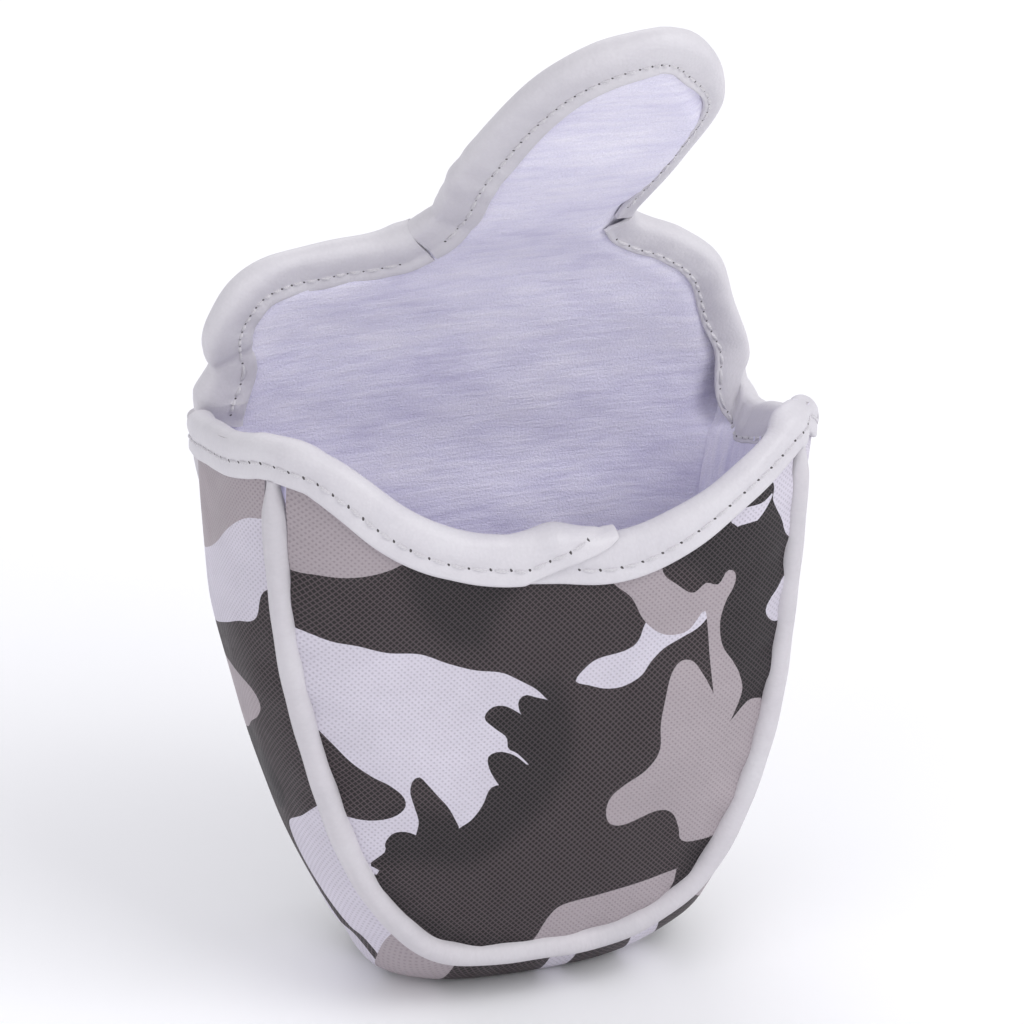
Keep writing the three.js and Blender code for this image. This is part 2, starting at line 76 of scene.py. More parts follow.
RIGHT_RIM_DIP = 3.0

# ---- Flap ----
LEAN_START, LEAN_END = 105.0, 170.0
LEAN = math.radians(38)
SHOULDER_CURL = 7.0
# Rows across the flap: left edge x, left length, right edge x, right length up the cloth.
FLAP_ROWS = [
    (-60.5, 129.5, 64, 117.3),
    (-62.5, 141, 59.8, 131.5),
    (-58, 152.5, 54, 145),
    (-49, 160, 45.5, 153.5),
    (-36, 162.2, 38, 158),
    (-26, 163.2, 33.5, 161.5),
    (-18, 166.5, 31.5, 166),
    (-13.5, 174.5, 33.5, 174),
    (-11, 188.5, 37.5, 187),
    (-6, 205.5, 41, 201),
    (1, 220, 41.5, 210.5),
    (10.5, 228, 38.5, 220.5),
    (19, 231.7, 32, 229.2),
    (24, 232.7, 26, 232.5),
]
ROOT_ROW = 6  # the tongue starts here, and the cloth is split here into two pieces
ROW_STEPS = 12  # samples between two rows
# The front panel's top edge: x, height.
FRONT_RIM = [
    (-58.5, 131.5), (-50, 129), (-40, 122), (-28, 113.2), (-17, 108.5), (-4, 107), (9, 105),
    (20, 106), (32, 110.3), (46, 117.6), (53, 121.6), (58.5, 126.5),
]

# ---- Layers, as depths under the outer skin, and trim ----
LEATHER = (0.0, 1.0)
QUILT = (1.3, 5.6)
PIPING_RADIUS = 2.8
FLAP_LEG = 8.2  # how far the wide strips come down from the edge


def ramp(x, start, end):
    t = np.clip((np.asarray(x, float) - start) / (end - start), 0, 1)
    return t * t * (3 - 2 * t)


def lerp(a, b, t):
    return a + (b - a) * t


def catmull(points, steps, closed=False):
    """A smooth curve through points, with steps pieces between each two."""
    points = np.array(points, float)
    if closed:
        padded = np.vstack([points[-1:], points, points[:2]])
    else:
        first = 2 * points[0] - points[1]
        last = 2 * points[-1] - points[-2]
        padded = np.vstack([first, points, last])
    t = (np.arange(steps) / steps)[:, None]
    pieces = []
    for a, b, c, d in zip(padded, padded[1:], padded[2:], padded[3:]):
        pieces.append(0.5 * (2 * b + (c - a) * t + (2 * a - 5 * b + 4 * c - d) * t ** 2
                             + (3 * b - a - 3 * c + d) * t ** 3))
    if not closed:
        pieces.append(points[-1:])
    return np.vstack(pieces)


def rows_at(at, places, table):
    """Rows of a table, interpolated between the places where its own rows stand."""
    return np.stack([np.interp(at, places, table[:, k]) for k in range(table.shape[1])], -1)


def unit(vectors):
    return vectors / np.maximum(1e-12, np.linalg.norm(vectors, axis=-1))[..., None]


def square_to(vectors, along):
    """The vectors turned to stand square to others."""
    return unit(vectors - along * np.sum(vectors * along, axis=-1)[..., None])


def run_along(points):
    """Length along a polyline at each of its points."""
    return np.r_[0, np.cumsum(np.linalg.norm(np.diff(points, axis=0), axis=1))]


def resample(points, spacing, closed=False):
    """Evenly spaced points along a polyline."""
    points = np.asarray(points, float)
    if closed:
        points = np.vstack([points, points[:1]])
    run = run_along(points)
    count = max(3, int(round(run[-1] / spacing)))
    at = np.linspace(0, run[-1], count + 1)
    if closed:
        at = at[:-1]
    return rows_at(at, run, points)


# ---- Skins ----

def sway(height):
    """How far the middle of a panel stands to the right."""
    return SWAY * ramp(height, 0, 12) * (1 - ramp(height, 35, 95))


def edge_level(x, height):
    """0 in the middle of a panel, 1 on its seam."""
    below = np.maximum(0, (TAPER_HEIGHT - height) / TAPER_HEIGHT)
    return (np.abs(x - sway(height)) / HALF_WIDTH) ** EDGE_POWER + below ** 2


def crown(swell, x, height):
    return swell * (1 - np.minimum(1, edge_level(x, height)) ** 1.6)


def front_skin(x, height):
    swell = FRONT_CROWN + MOUTH_CROWN * ramp(height, 60, 130)
    y = -HALF_DEPTH - crown(swell, x, height)
    return np.stack([x, y, height + SEAM_LIFT], -1)


LEAN_STEP = 0.25
lean_lengths = np.arange(0, 245, LEAN_STEP)
lean_angles = LEAN * ramp(lean_lengths + LEAN_STEP / 2, LEAN_START, LEAN_END)
line_y = HALF_DEPTH - np.r_[0, np.cumsum(np.sin(lean_angles))[:-1]] * LEAN_STEP
line_z = np.r_[0, np.cumsum(np.cos(lean_angles))[:-1]] * LEAN_STEP


def back_skin(x, length):
    y = np.interp(length, lean_lengths, line_y)
    z = np.interp(length, lean_lengths, line_z)
    swell = BACK_CROWN * (1 - ramp(length, 90, 135))
    curl = SHOULDER_CURL * ramp(length, 100, 150) * (1 - ramp(length, 145, 195))
    side = np.minimum(1.1, np.abs(x) / HALF_WIDTH) ** 4
    return np.stack([x, y + crown(swell, x, length) - curl * side, z + SEAM_LIFT], -1)


def half_width(height, flare=0.0):
    below = np.maximum(0, (TAPER_HEIGHT - height) / TAPER_HEIGHT)
    return HALF_WIDTH * (1 - below ** 2) ** (1 / EDGE_POWER) + flare * ramp(height, 80, 125)


def outline(left_top, right_top, flare=0.0):
    """Down the left side, round the bottom and up the right side of a panel, every 1 mm."""
    turn = TAPER_HEIGHT * (1 - np.cos(math.pi / 2 * np.linspace(0, 1, 200) ** 1.5))

    def side(top, sign):
        heights = np.r_[turn[turn < top - 1], top]
        return np.stack([sway(heights) + sign * half_width(heights, flare), heights], 1)

    left = side(left_top, -1)[::-1]
    return resample(np.vstack([left, side(right_top, 1)[1:]]), 1.0)


def inset_outline(points, inset):
    run = unit(np.gradient(points, axis=0))
    return points + inset * np.stack([-run[:, 1], run[:, 0]], 1)


SEAM_SAMPLES = 400


def seam(side):
    flare = BACK_FLARE if side == "back" else 0.0
    flat = outline(LEFT_TOP[side], RIGHT_TOP[side], flare)
    if side == "back":
        points = back_skin(flat[:, 0], flat[:, 1])
    else:
        y = np.full(len(flat), -HALF_DEPTH)
        points = np.stack([flat[:, 0], y, flat[:, 1] + SEAM_LIFT], 1)
    run = run_along(points)
    at = np.linspace(0, run[-1], SEAM_SAMPLES + 1)
    return rows_at(at, run, points)


front_seam = seam("front")
back_seam = seam("back")
GUSSET_LENGTH = float(run_along(front_seam)[-1])
seam_run = np.gradient(front_seam, axis=0) + np.gradient(back_seam, axis=0)
seam_outward = unit(np.stack([seam_run[:, 2], 0 * seam_run[:, 2], -seam_run[:, 0]], 1))


def gusset_skin(along, across):
    """along is millimetres from the left corner of the mouth, across is -1 back to 1 front."""
    along, across = np.broadcast_arrays(np.asarray(along, float), np.asarray(across, float))
    t = np.clip(along / GUSSET_LENGTH, 0, 1)
    part = ((across + 1) / 2)[..., None]
    back, front, out = (rows_at(t * SEAM_SAMPLES, np.arange(SEAM_SAMPLES + 1), table)
                        for table in (back_seam, front_seam, seam_outward))
    bulge = lerp(BASE_BULGE, SIDE_BULGE, ramp(np.abs(out[..., 0]), SIDE_FACING, 1))
    bulge = bulge * lerp(LEFT_MOUTH_BULGE, 1, ramp(t, 0, 0.15))
    bulge = bulge * (1 - np.abs(across) ** BULGE_POWER)
    points = lerp(back, front, part) + out * bulge[..., None]
    points[..., 2] -= RIGHT_RIM_DIP * ramp(t, 0.93, 1) * (1 - across ** 2)
    z = points[..., 2]
    turned = np.maximum(0, z + FLOOR_TURN) ** 2 / (4 * FLOOR_TURN)
    points[..., 2] = np.where(z > FLOOR_TURN, z, turned)
    return points


def normals_of(skin, u, v, step):
    """Unit normals of a skin, along du x dv."""
    du = skin(u + step[0], v) - skin(u - step[0], v)
    dv = skin(u, v + step[1]) - skin(u, v - step[1])
    return unit(np.cross(du, dv))


def rim_height(x):
    curve = catmull(FRONT_RIM, 12)
    return np.interp(x, curve[:, 0], curve[:, 1])


# ---- The print ----

# Colours as they look, in sRGB from 0 to 255.
INKS = {
    "white": (208, 203, 215),
    "taupe": (168, 158, 163),
    "dark": (68, 60, 63),
    "black": (43, 39, 42),
}
BACKING = (190, 186, 190)

# Shapes of the front panel's print, painted in this order over the dark ground: x, height.
FRONT_PRINT = [
    ("white", [(-61, 90), (-54, 89), (-48, 87), (-43, 86), (-37, 84), (-30, 83), (-24, 80),
               (-18, 77.5), (-12, 76), (-8, 73.5), (-4, 70.5), (-1.5, 67.5), (-1.5, 67.5),
               (-4, 68.5), (-6.5, 69.5), (-8, 68), (-7.5, 65), (-7.5, 65), (-11, 67.5),
               (-14, 67.5), (-15.5, 65), (-13, 62), (-10.5, 59.5), (-10, 56.5), (-8, 55),
               (-5.5, 52), (-5.5, 51.5), (-8.5, 54.5), (-12, 56), (-14.5, 55), (-14, 51.5),
               (-12, 47.5), (-12, 47.5), (-14, 46.5), (-15.5, 42.5), (-18, 39), (-20.5, 37.5),
               (-20.5, 37.5), (-23, 43), (-25.5, 46.5), (-28, 50), (-29.5, 51.8), (-31, 51),
               (-31.5, 48), (-30.5, 44), (-29.5, 40), (-30, 36.5), (-30, 36.5), (-32.5, 37.5),
               (-35, 37), (-36.5, 34.5), (-36.5, 32), (-39.5, 28.5), (-37.5, 27), (-38, 25.8),
               (-38, 25.8), (-44, 26), (-52, 32), (-60, 50), (-63, 75)]),
    ("dark", [(-60, 74), (-51, 64.5), (-45, 57), (-40, 52.5), (-36, 50), (-33, 47), (-32.5, 44),
              (-35, 41.5), (-40, 40.5), (-46, 42), (-51, 44.5), (-60, 50)]),
    ("taupe", [(-62, 140), (-62, 106), (-56, 103), (-51, 103), (-45, 103), (-39, 104),
               (-34, 106), (-29, 110), (-34, 130)]),
    ("white", [(5, 71), (7, 74), (10, 76), (16, 77), (19, 79), (21, 84), (27, 88), (32, 86),
               (35, 83), (33, 80), (29, 78), (25, 76), (22, 73), (20, 70), (16, 68), (12, 68),
               (8, 69.5)]),
    ("taupe", [(8, 100), (13, 94), (17, 90), (20, 84), (24, 80), (28, 79), (31, 80), (34, 84),
               (35, 80), (36, 72), (37.5, 62), (37.5, 62), (35, 67), (32, 71.5), (29, 72),
               (27, 69), (26, 64), (25, 57), (25, 50), (22, 45.5), (17, 42.5), (14, 40),
               (13, 36.5), (14, 33), (17.5, 32), (25, 34), (29, 32.5), (31, 28), (32, 24),
               (36, 22.5), (43, 23), (52, 29), (60, 52), (53, 54), (51, 56), (51, 56),
               (47, 57), (42.5, 53.5), (42.5, 53.5), (45, 60), (44, 65), (42, 69), (39, 74),
               (38, 80), (39, 85), (41, 89), (41, 92), (39, 93), (37, 90), (34, 91), (31, 89),
               (27, 92), (24, 95), (22, 101), (14, 104)]),
    ("taupe", [(-3, -2), (-1, 4), (1.5, 9.5), (4.5, 12), (12, 13), (21, 14.2), (31.5, 16),
               (31.5, 16), (31, 11), (28, 5.5), (22, -2)]),
    ("white", [(46, 119), (50, 111), (50, 107), (53, 101), (55, 96), (62, 92), (62, 122)]),
    ("white", [(39, 105.5), (42, 107.5), (47, 107.5), (50, 109), (48, 105.5), (46, 103.5), (46, 103.5),
               (41, 103.5), (41, 103.5)]),
    ("white", [(56, 86), (52, 83), (50, 80), (51, 77), (54, 75), (60, 76)]),
]

# Where the front panel's dark ground turns black, with a soft edge: x, height.
FRONT_SHADE = [
    [(-32, 109), (-33, 101), (-31, 95), (-27, 88), (-22, 84), (-16, 83), (-13, 90), (-9, 100),
     (-14, 110), (-24, 116)],
    [(-1, 73), (-10, 70), (-18, 60), (-20, 42), (-34, 44), (-40, 30), (-30, 29), (-18, 27),
     (-8, 33), (1, 43), (5, 55), (3, 67)],
    [(-48, 30), (-38, 26), (-30, 16), (-18, 7), (-6, 3), (-2, -3), (-24, -4), (-48, 4)],
    [(20, 100), (32, 108), (49, 126), (66, 122), (66, 60), (58, 52), (44, 54), (38, 70),
     (36, 86), (30, 96)],
    [(29, 3), (33, 17), (36, 22), (56, 24), (56, 10), (36, -2)],
]

# Shapes of the gusset's print: millimetres from the mouth's left corner, then across to the front.
GUSSET_PRINT = [
    ("white", [(10, -30), (10, 30), (31, 30), (35, 24), (42, 21), (44, 14), (47, 5), (51, -8),
               (52, -20), (48, -30)]),
    ("taupe", [(-4, -32), (-4, 32), (15, 31), (18, 20), (22, 12), (27, 4), (31, -5), (33, -14),
               (29, -24), (21, -32)]),
    ("black", [(76, -26), (74, -4), (79, 9), (88, 15), (95, 8), (94, -8), (88, -24)]),
    ("taupe", [(62, -12), (59, 4), (60, 14), (64, 17), (68, 14), (72, 7), (78, -3), (81, -14),
               (72, -20)]),
    ("white", [(88, 31), (93, 19), (97, 12), (103, 10), (110, 11), (117, 14), (124, 17), (130, 18),
               (134, 19), (131, 24), (125, 29), (112, 31)]),
    ("white", [(102, -7), (110, 4), (118, 10), (127, 14), (136, 15), (138, 2), (130, -12),
               (114, -18)]),
    ("taupe", [(125, 30), (132, 18), (137, 10), (143, 9), (144, 20), (140, 31)]),
    ("black", [(146, -24), (144, -6), (152, 2), (162, -4), (166, -18), (158, -28)]),
    ("white", [(161, -2), (164, 12), (166, 31), (171, 31), (170, 14), (167, -4)]),
    ("white", [(180, -6), (182, 10), (184, 31), (190, 31), (188, 12), (186, -8)]),
    ("taupe", [(199, 31), (202, 10), (210, -2), (218, 8), (216, 31)]),
    ("white", [(226, 31), (224, 8), (232, -8), (244, -2), (247, 14), (242, 31)]),
    ("black", [(250, -30), (246, -12), (256, 2), (270, -2), (274, -18), (266, -30)]),
    ("white", [(298, 31), (296, 12), (304, 2), (318, 4), (326, 31)]),
    ("taupe", [(280, -31), (276, -10), (288, 2), (304, -6), (326, -4), (326, -31)]),
    ("taupe", [(172, -30), (176, -14), (190, -10), (200, -20), (198, -31)]),
]


def placed(shapes, turn, shift):
    """The same print on another part of the cloth, turned and shifted."""
    c, s = math.cos(turn), math.sin(turn)
    result = []
    for ink, points in shapes:
        moved = [(c * x - s * y + shift[0], s * x + c * y + shift[1]) for x, y in points]
        result.append((ink, moved))
    return result


BACK_PRINT = (placed(FRONT_PRINT, math.pi, (2, 118))
              + placed(FRONT_PRINT, -math.pi / 2, (-62, 186))
              + placed(FRONT_PRINT, math.radians(12), (26, 170)))
GUSSET_SHADE = [
    [(60, -30), (66, -8), (78, 4), (92, 0), (96, -30)],
    [(140, -30), (142, -6), (158, 4), (168, -30)],
    [(244, -30), (246, -8), (262, 0), (276, -30)],
]
BACK_SHADE = [[(-50, 30), (-20, 44), (6, 30), (0, 8), (-30, 2)],
              [(10, 70), (40, 92), (60, 70), (40, 52)],
              [(-40, 130), (-10, 150), (20, 138), (4, 116)],
              [(10, 190), (30, 214), (44, 200), (26, 178)]]


def distance_to(points, line):
    """Distance of each point to the nearest point of a line, and that point's number."""
    gap = np.zeros(len(points))
    nearest = np.zeros(len(points), int)
    for start in range(0, len(points), 2000):
        part = points[start:start + 2000]
        gaps = np.linalg.norm(part[:, None] - line[None], axis=2)
        nearest[start:start + 2000] = gaps.argmin(1)
        gap[start:start + 2000] = gaps.min(1)
    return gap, nearest


def inside(points, polygon):
    """Which points lie in a closed polygon."""
    x, y = points[:, 0][:, None], points[:, 1][:, None]
    ax, ay = polygon[:, 0], polygon[:, 1]
    bx, by = np.roll(ax, -1), np.roll(ay, -1)
    spans = (ay > y) != (by > y)
    slope = np.where(by == ay, 1.0, by - ay)
    crossing = ax + (y - ay) * (bx - ax) / slope
    return (np.sum(spans & (x < crossing), axis=1) % 2).astype(bool)


def linear(colour):
    """sRGB from 0 to 255 to scene linear."""
    c = np.array(colour, float) / 255
    return np.where(c <= 0.04045, c / 12.92, ((c + 0.055) / 1.055) ** 2.4)


def cut_cloth(boundary, print_shapes, spacing):
    """Triangulates a cloth cut to a boundary, its edges following the print's outlines.

    Returns the flat points, the triangles and each triangle's ink.
    """
    boundary = resample(boundary, spacing, closed=True)
    outlines = []
    for _, shape in print_shapes:
        outlines.append(resample(catmull(shape, 8, closed=True), spacing * 0.7, closed=True))
    low, high = boundary.min(0), boundary.max(0)
    rows = np.arange(low[1], high[1], spacing * 0.866)
    grid = []
    for k, y in enumerate(rows):
        xs = np.arange(low[0] + (k % 2) * spacing / 2, high[0], spacing)
        grid.append(np.stack([xs, np.full(len(xs), y)], 1))
    grid = np.vstack(grid)
    grid = grid[inside(grid, boundary)]
    gap, _ = distance_to(grid, np.vstack([boundary] + outlines))
    grid = grid[gap > spacing * 0.45]
    coords, edges = [], []
    for loop in [boundary] + outlines:
        base = len(coords)
        coords.extend(map(Vector, loop))
        edges.extend((base + i, base + (i + 1) % len(loop)) for i in range(len(loop)))
    coords.extend(map(Vector, grid))
    verts, _, faces, _, _, _ = delaunay_2d_cdt(coords, edges, [], 0, 1e-5)
    flat = np.array([v[:] for v in verts])
    faces = np.array([f for f in faces if len(f) == 3])
    centres = flat[faces].mean(1)
    kept = inside(centres, boundary)
    faces, centres = faces[kept], centres[kept]
    side_a = flat[faces[:, 1]] - flat[faces[:, 0]]
    side_b = flat[faces[:, 2]] - flat[faces[:, 0]]
    clockwise = side_a[:, 0] * side_b[:, 1] < side_a[:, 1] * side_b[:, 0]
    faces[clockwise] = faces[clockwise][:, ::-1]
    used = np.unique(faces)
    remap = np.zeros(len(flat), int)
    remap[used] = np.arange(len(used))
    inks = np.full(len(faces), "dark", dtype=object)
    for (ink, _), loop in zip(print_shapes, outlines):
        inks[inside(centres, loop)] = ink
    return flat[used], remap[faces], inks


SHADE_EDGE = 3.5  # half the width of the soft edge between dark and black


def corner_colours(flat, faces, inks, shade_shapes):
    """Scene linear colour of each triangle's three corners."""
    black = np.zeros(len(flat))
    for shape in shade_shapes:
        loop = resample(catmull(shape, 8, closed=True), 1.0, closed=True)
        gap, _ = distance_to(flat, loop)
        signed = np.where(inside(flat, loop), gap, -gap)
        black = np.maximum(black, ramp(signed, -SHADE_EDGE, SHADE_EDGE))
    table = {ink: linear(colour) for ink, colour in INKS.items()}
    colours = np.array([table[ink] for ink in inks])[:, None].repeat(3, axis=1)
    dark = inks == "dark"
    share = black[faces[dark]][..., None]
    colours[dark] = lerp(table["dark"], table["black"], share)
    return colours


# ---- Meshes ----

SHARP_ANGLE = math.radians(55)


def new_mesh(name, points, faces, uvs=None, colours=None):
    """points in millimetres, uvs one per point, colours one per corner of each face."""
    mesh = bpy.data.meshes.new(name)
    mesh.from_pydata((np.asarray(points) * MM).tolist(), [], [[int(i) for i in f] for f in faces])
    mesh.update()
    loops = np.zeros(len(mesh.loops), np.int32)
    mesh.loops.foreach_get("vertex_index", loops)
    if uvs is not None:
        layer = mesh.uv_layers.new(name="cloth")
        layer.data.foreach_set("uv", (np.asarray(uvs)[loops] * MM).astype(np.float32).ravel())
    if colours is not None:
        layer = mesh.color_attributes.new("print", "FLOAT_COLOR", "CORNER")
        values = np.c_[colours, np.ones(len(colours))]
        layer.data.foreach_set("color", values.astype(np.float32).ravel())
    mesh.polygons.foreach_set("use_smooth", np.ones(len(mesh.polygons), bool))
    mesh.set_sharp_from_angle(angle=SHARP_ANGLE)
    piece = bpy.data.objects.new(name, mesh)
    bpy.context.scene.collection.objects.link(piece)
    return piece


def rim_edges(faces):
    """Edges that only one face has, in that face's direction."""
    edges = {(int(a), int(b)) for face in faces for a, b in zip(face, np.roll(face, -1))}
    return sorted(edge for edge in edges if edge[::-1] not in edges)


def closed_layer(name, near, far, faces, flat, colours=None):
    """A closed piece between two copies of a cloth. The faces point out of near."""
    count = len(near)
    sides = [(b, a, a + count, b + count) for a, b in rim_edges(faces)]
    all_faces = [tuple(f) for f in faces] + [tuple(f) for f in faces[:, ::-1] + count] + sides
    if colours is not None:
        backing = np.tile(linear(BACKING), (3 * len(faces) + 4 * len(sides), 1))
        colours = np.vstack([colours.reshape(-1, 3), backing])
    return new_mesh(name, np.vstack([near, far]), all_faces, np.vstack([flat, flat]), colours)


def tube_quads(rings, sides):
    """Point numbers of a tube, one row for each ring, and the quads between its rings."""
    index = np.arange(rings * sides).reshape(rings, sides)
    wrapped = np.roll(index, -1, axis=1)
    return index, np.stack([index[:-1], wrapped[:-1], wrapped[1:], index[1:]], -1).reshape(-1, 4)


def tube_faces(rings, sides, base=0):
    """Faces of a closed tube of rings, its first ring starting at point number base."""
    index, quads = tube_quads(rings, sides)
    ends = [tuple(index[0][::-1] + base), tuple(index[-1] + base)]
    return [tuple(quad) for quad in quads + base] + ends


def sweep(name, path, outs, rings):
    """A closed tube of rings of (out, over) points, one ring for each path point."""
    run = unit(np.gradient(path, axis=0))
    out = square_to(outs, run)
    over = np.cross(run, out)
    points = path[:, None] + out[:, None] * rings[..., 0:1] + over[:, None] * rings[..., 1:2]
    rows, columns = points.shape[:2]
    travelled = run_along(path)
    girth = run_along(rings[0])
    uvs = np.stack(np.broadcast_arrays(travelled[:, None], girth[None]), -1).reshape(-1, 2)
    return new_mesh(name, points.reshape(-1, 3), tube_faces(rows, columns), uvs)


# ---- Materials ----

def link(tree, source, target):
    tree.links.new(source, target)


def add_node(tree, kind, settings=None, **inputs):
    """Adds a node. inputs are socket names with _ for a space, and a value or a socket."""
    node = tree.nodes.new(kind)
    for key, value in (settings or {}).items():
        setattr(node, key, value)
    for key, value in inputs.items():
        socket = node.inputs[int(key[1:])] if key[0] == "i" and key[1:].isdigit() \
            else node.inputs[key.replace("_", " ")]
        if isinstance(value, bpy.types.NodeSocket):
            link(tree, value, socket)
        else:
            socket.default_value = value
    return node


def math_node(tree, operation, a, b=0.0, c=0.0):
    return add_node(tree, "ShaderNodeMath", {"operation": operation}, i0=a, i1=b, i2=c).outputs[0]


def cloth_map(tree):
    return add_node(tree, "ShaderNodeUVMap", {"uv_map": "cloth"}).outputs["UV"]


def noise(tree, vector, scale, detail=3.0, roughness=0.55):
    node = add_node(tree, "ShaderNodeTexNoise", None, Vector=vector, Scale=scale, Detail=detail,
                    Roughness=roughness)
    return node.outputs["Fac"]


def stretched(tree, vector, scale):
    return add_node(tree, "ShaderNodeMapping", None, Vector=vector, Scale=scale).outputs["Vector"]


def ramp_colours(tree, factor, stops):
    """A colour ramp from (position, sRGB colour) stops."""
    node = add_node(tree, "ShaderNodeValToRGB", None, Fac=factor)
    ramp_data = node.color_ramp
    while len(ramp_data.elements) < len(stops):
        ramp_data.elements.new(1.0)
    for element, (position, colour) in zip(ramp_data.elements, stops):
        element.position = position
        element.color = (*linear(colour), 1.0)
    return node.outputs["Color"]


def remap(tree, value, low, high, to_low=0.0, to_high=1.0):
    node = add_node(tree, "ShaderNodeMapRange", None, Value=value, From_Min=low, From_Max=high,
                    To_Min=to_low, To_Max=to_high)
    return node.outputs["Result"]


def mix_values(tree, factor, a, b):
    return add_node(tree, "ShaderNodeMix", {"data_type": "FLOAT"}, i0=factor, i2=a, i3=b).outputs[0]


def mix_colours(tree, factor, a, b, blend_type="MIX"):
    settings = {"data_type": "RGBA", "blend_type": blend_type}
    return add_node(tree, "ShaderNodeMix", settings, i0=factor, i6=a, i7=b).outputs[2]


def new_material(name, **values):
    """values are the shader's uniform inputs, with _ for a space."""
    material = bpy.data.materials.new(name)
    material.use_nodes = True
    shader = material.node_tree.nodes["Principled BSDF"]
    for key, value in values.items():
        shader.inputs[key.replace("_", " ")].default_value = value
    return material, material.node_tree, shader


def bump(tree, shader, height, distance):
    node = add_node(tree, "ShaderNodeBump", None, Height=height, Distance=distance, Strength=1.0)
    link(tree, node.outputs["Normal"], shader.inputs["Normal"])


def leather_material():
    """Printed leather embossed with a fine diagonal cross-hatch, plainest on the dark inks. Its pits carry
    painted shade and the dark inks' ridges a painted highlight.
    """
    material, tree, shader = new_material("camo_leather", Specular_IOR_Level=0.35)
    uv = cloth_map(tree)
    wander = add_node(tree, "ShaderNodeTexNoise", None, Vector=uv, Scale=260.0, Detail=1.0)
    wobble = add_node(tree, "ShaderNodeVectorMath", {"operation": "MULTIPLY_ADD"})
    link(tree, wander.outputs["Color"], wobble.inputs[0])
    wobble.inputs[1].default_value = (HATCH_WANDER, HATCH_WANDER, 0)
    link(tree, uv, wobble.inputs[2])
    parts = add_node(tree, "ShaderNodeSeparateXYZ", None, Vector=wobble.outputs[0])
    waves = []
    for angle in HATCH_ANGLES:
        turn = 2 * math.pi / HATCH_PITCH
        across = math_node(tree, "MULTIPLY", parts.outputs["X"], turn * math.cos(angle))
        phase = math_node(tree, "MULTIPLY_ADD", parts.outputs["Y"], turn * math.sin(angle), across)
        waves.append(math_node(tree, "SINE", phase))
    ink = add_node(tree, "ShaderNodeVertexColor", {"layer_name": "print"}).outputs["Color"]
    grey = add_node(tree, "ShaderNodeSeparateColor", None, Color=ink).outputs["Green"]
    darkness = remap(tree, grey, 0.08, 0.3, 1.0, 0.0)
    both = math_node(tree, "MAXIMUM", waves[0], waves[1])
    ridge_dark = remap(tree, both, 0.45, 0.95)
    ridge_light = remap(tree, both, -0.75, 0.35)
    ridge = mix_values(tree, darkness, ridge_light, ridge_dark)
    fine = noise(tree, uv, 2600.0, 2.0)
    height = math_node(tree, "MULTIPLY_ADD", fine, 0.25, ridge)
    patchy = remap(tree, noise(tree, uv, 45.0, 4.0), 0.3, 0.7, 0.93, 1.06)
    tone = mix_colours(tree, 1.0, ink, patchy, "MULTIPLY")
    # Painted shade: the hatch's pits are darkened, most of all on the dark inks.
    pit_shade_factor = mix_values(tree, darkness, 0.80, 0.26)
    pit_shade = mix_values(tree, ridge, pit_shade_factor, 1.0)
    shaded = mix_colours(tree, 1.0, tone, pit_shade, "MULTIPLY")
    # Painted highlight: the dark inks' ridges are lifted lighter by an added colour.
    ridge_highlight = math_node(tree, "MULTIPLY", ridge, darkness)
    ridge_highlight_colour = mix_colours(tree, ridge_highlight, (0.0, 0.0, 0.0, 1.0), (0.034, 0.025, 0.028, 1.0))
    lifted = mix_colours(tree, 1.0, shaded, ridge_highlight_colour, "ADD")
    link(tree, lifted, shader.inputs["Base Color"])
    gloss = remap(tree, noise(tree, uv, 120.0), 0.3, 0.7, 0.5, 0.64)
    link(tree, gloss, shader.inputs["Roughness"])
    bump(tree, shader, height, 0.00010)
    return material


def strip_material(name, colour, low, high):
    """Smooth coated leather of the binding and piping, with a fine pebble, painted shade in its hollows,
    and slight soiling.
    """
    material, tree, shader = new_material(name)
    uv = cloth_map(tree)
    soil = noise(tree, uv, 38.0, 5.0, 0.6)
    tone = ramp_colours(tree, soil, [(0.3, low), (0.5, colour), (0.72, high)])
    pebbles = add_node(tree, "ShaderNodeTexVoronoi", None, Vector=uv, Scale=1500.0)
    pebble = pebbles.outputs["Distance"]
    # Painted shade: the hollows between the pebbles are a little darker.
    shade = remap(tree, pebble, 0.0, 0.9, 1.0, 0.965)
    link(tree, mix_colours(tree, 1.0, tone, shade, "MULTIPLY"), shader.inputs["Base Color"])
    link(tree, remap(tree, soil, 0.3, 0.7, 0.42, 0.55), shader.inputs["Roughness"])
    wrinkles = noise(tree, stretched(tree, uv, (1.0, 0.35, 1.0)), 420.0, 4.0)
    height = math_node(tree, "MULTIPLY_ADD", pebble, -0.35, wrinkles)
    bump(tree, shader, height, 0.00013)
    return material


def plush_material():
    """Short plush pile, brushed sideways, with mottled flattened patches."""
    material, tree, shader = new_material("plush", Roughness=0.95, Specular_IOR_Level=0.15,
                                          Sheen_Weight=0.35, Sheen_Roughness=0.5,
                                          Sheen_Tint=(0.9, 0.88, 1.0, 1.0))
    uv = cloth_map(tree)
    patches = noise(tree, stretched(tree, uv, (0.45, 1.0, 1.0)), 70.0, 5.0, 0.6)
    streaks = noise(tree, stretched(tree, uv, (0.14, 1.0, 1.0)), 520.0, 5.0, 0.62)
    pile = noise(tree, uv, 1900.0, 2.0, 0.7)
    mixed = math_node(tree, "MULTIPLY_ADD", streaks, 0.45, math_node(tree, "MULTIPLY", patches, 0.6))
    tone = ramp_colours(tree, mixed, [(0.36, (216, 212, 236)), (0.5, (233, 230, 248)),
                                      (0.66, (245, 242, 254))])
    # Painted shade: the pile is a little darker where its tufts lie low.
    shade = remap(tree, pile, 0.3, 0.7, 0.9, 1.04)
    link(tree, mix_colours(tree, 1.0, tone, shade, "MULTIPLY"), shader.inputs["Base Color"])
    height = math_node(tree, "MULTIPLY_ADD", streaks, 0.9, math_node(tree, "MULTIPLY", pile, 0.6))
    bump(tree, shader, height, 0.0004)
    return material


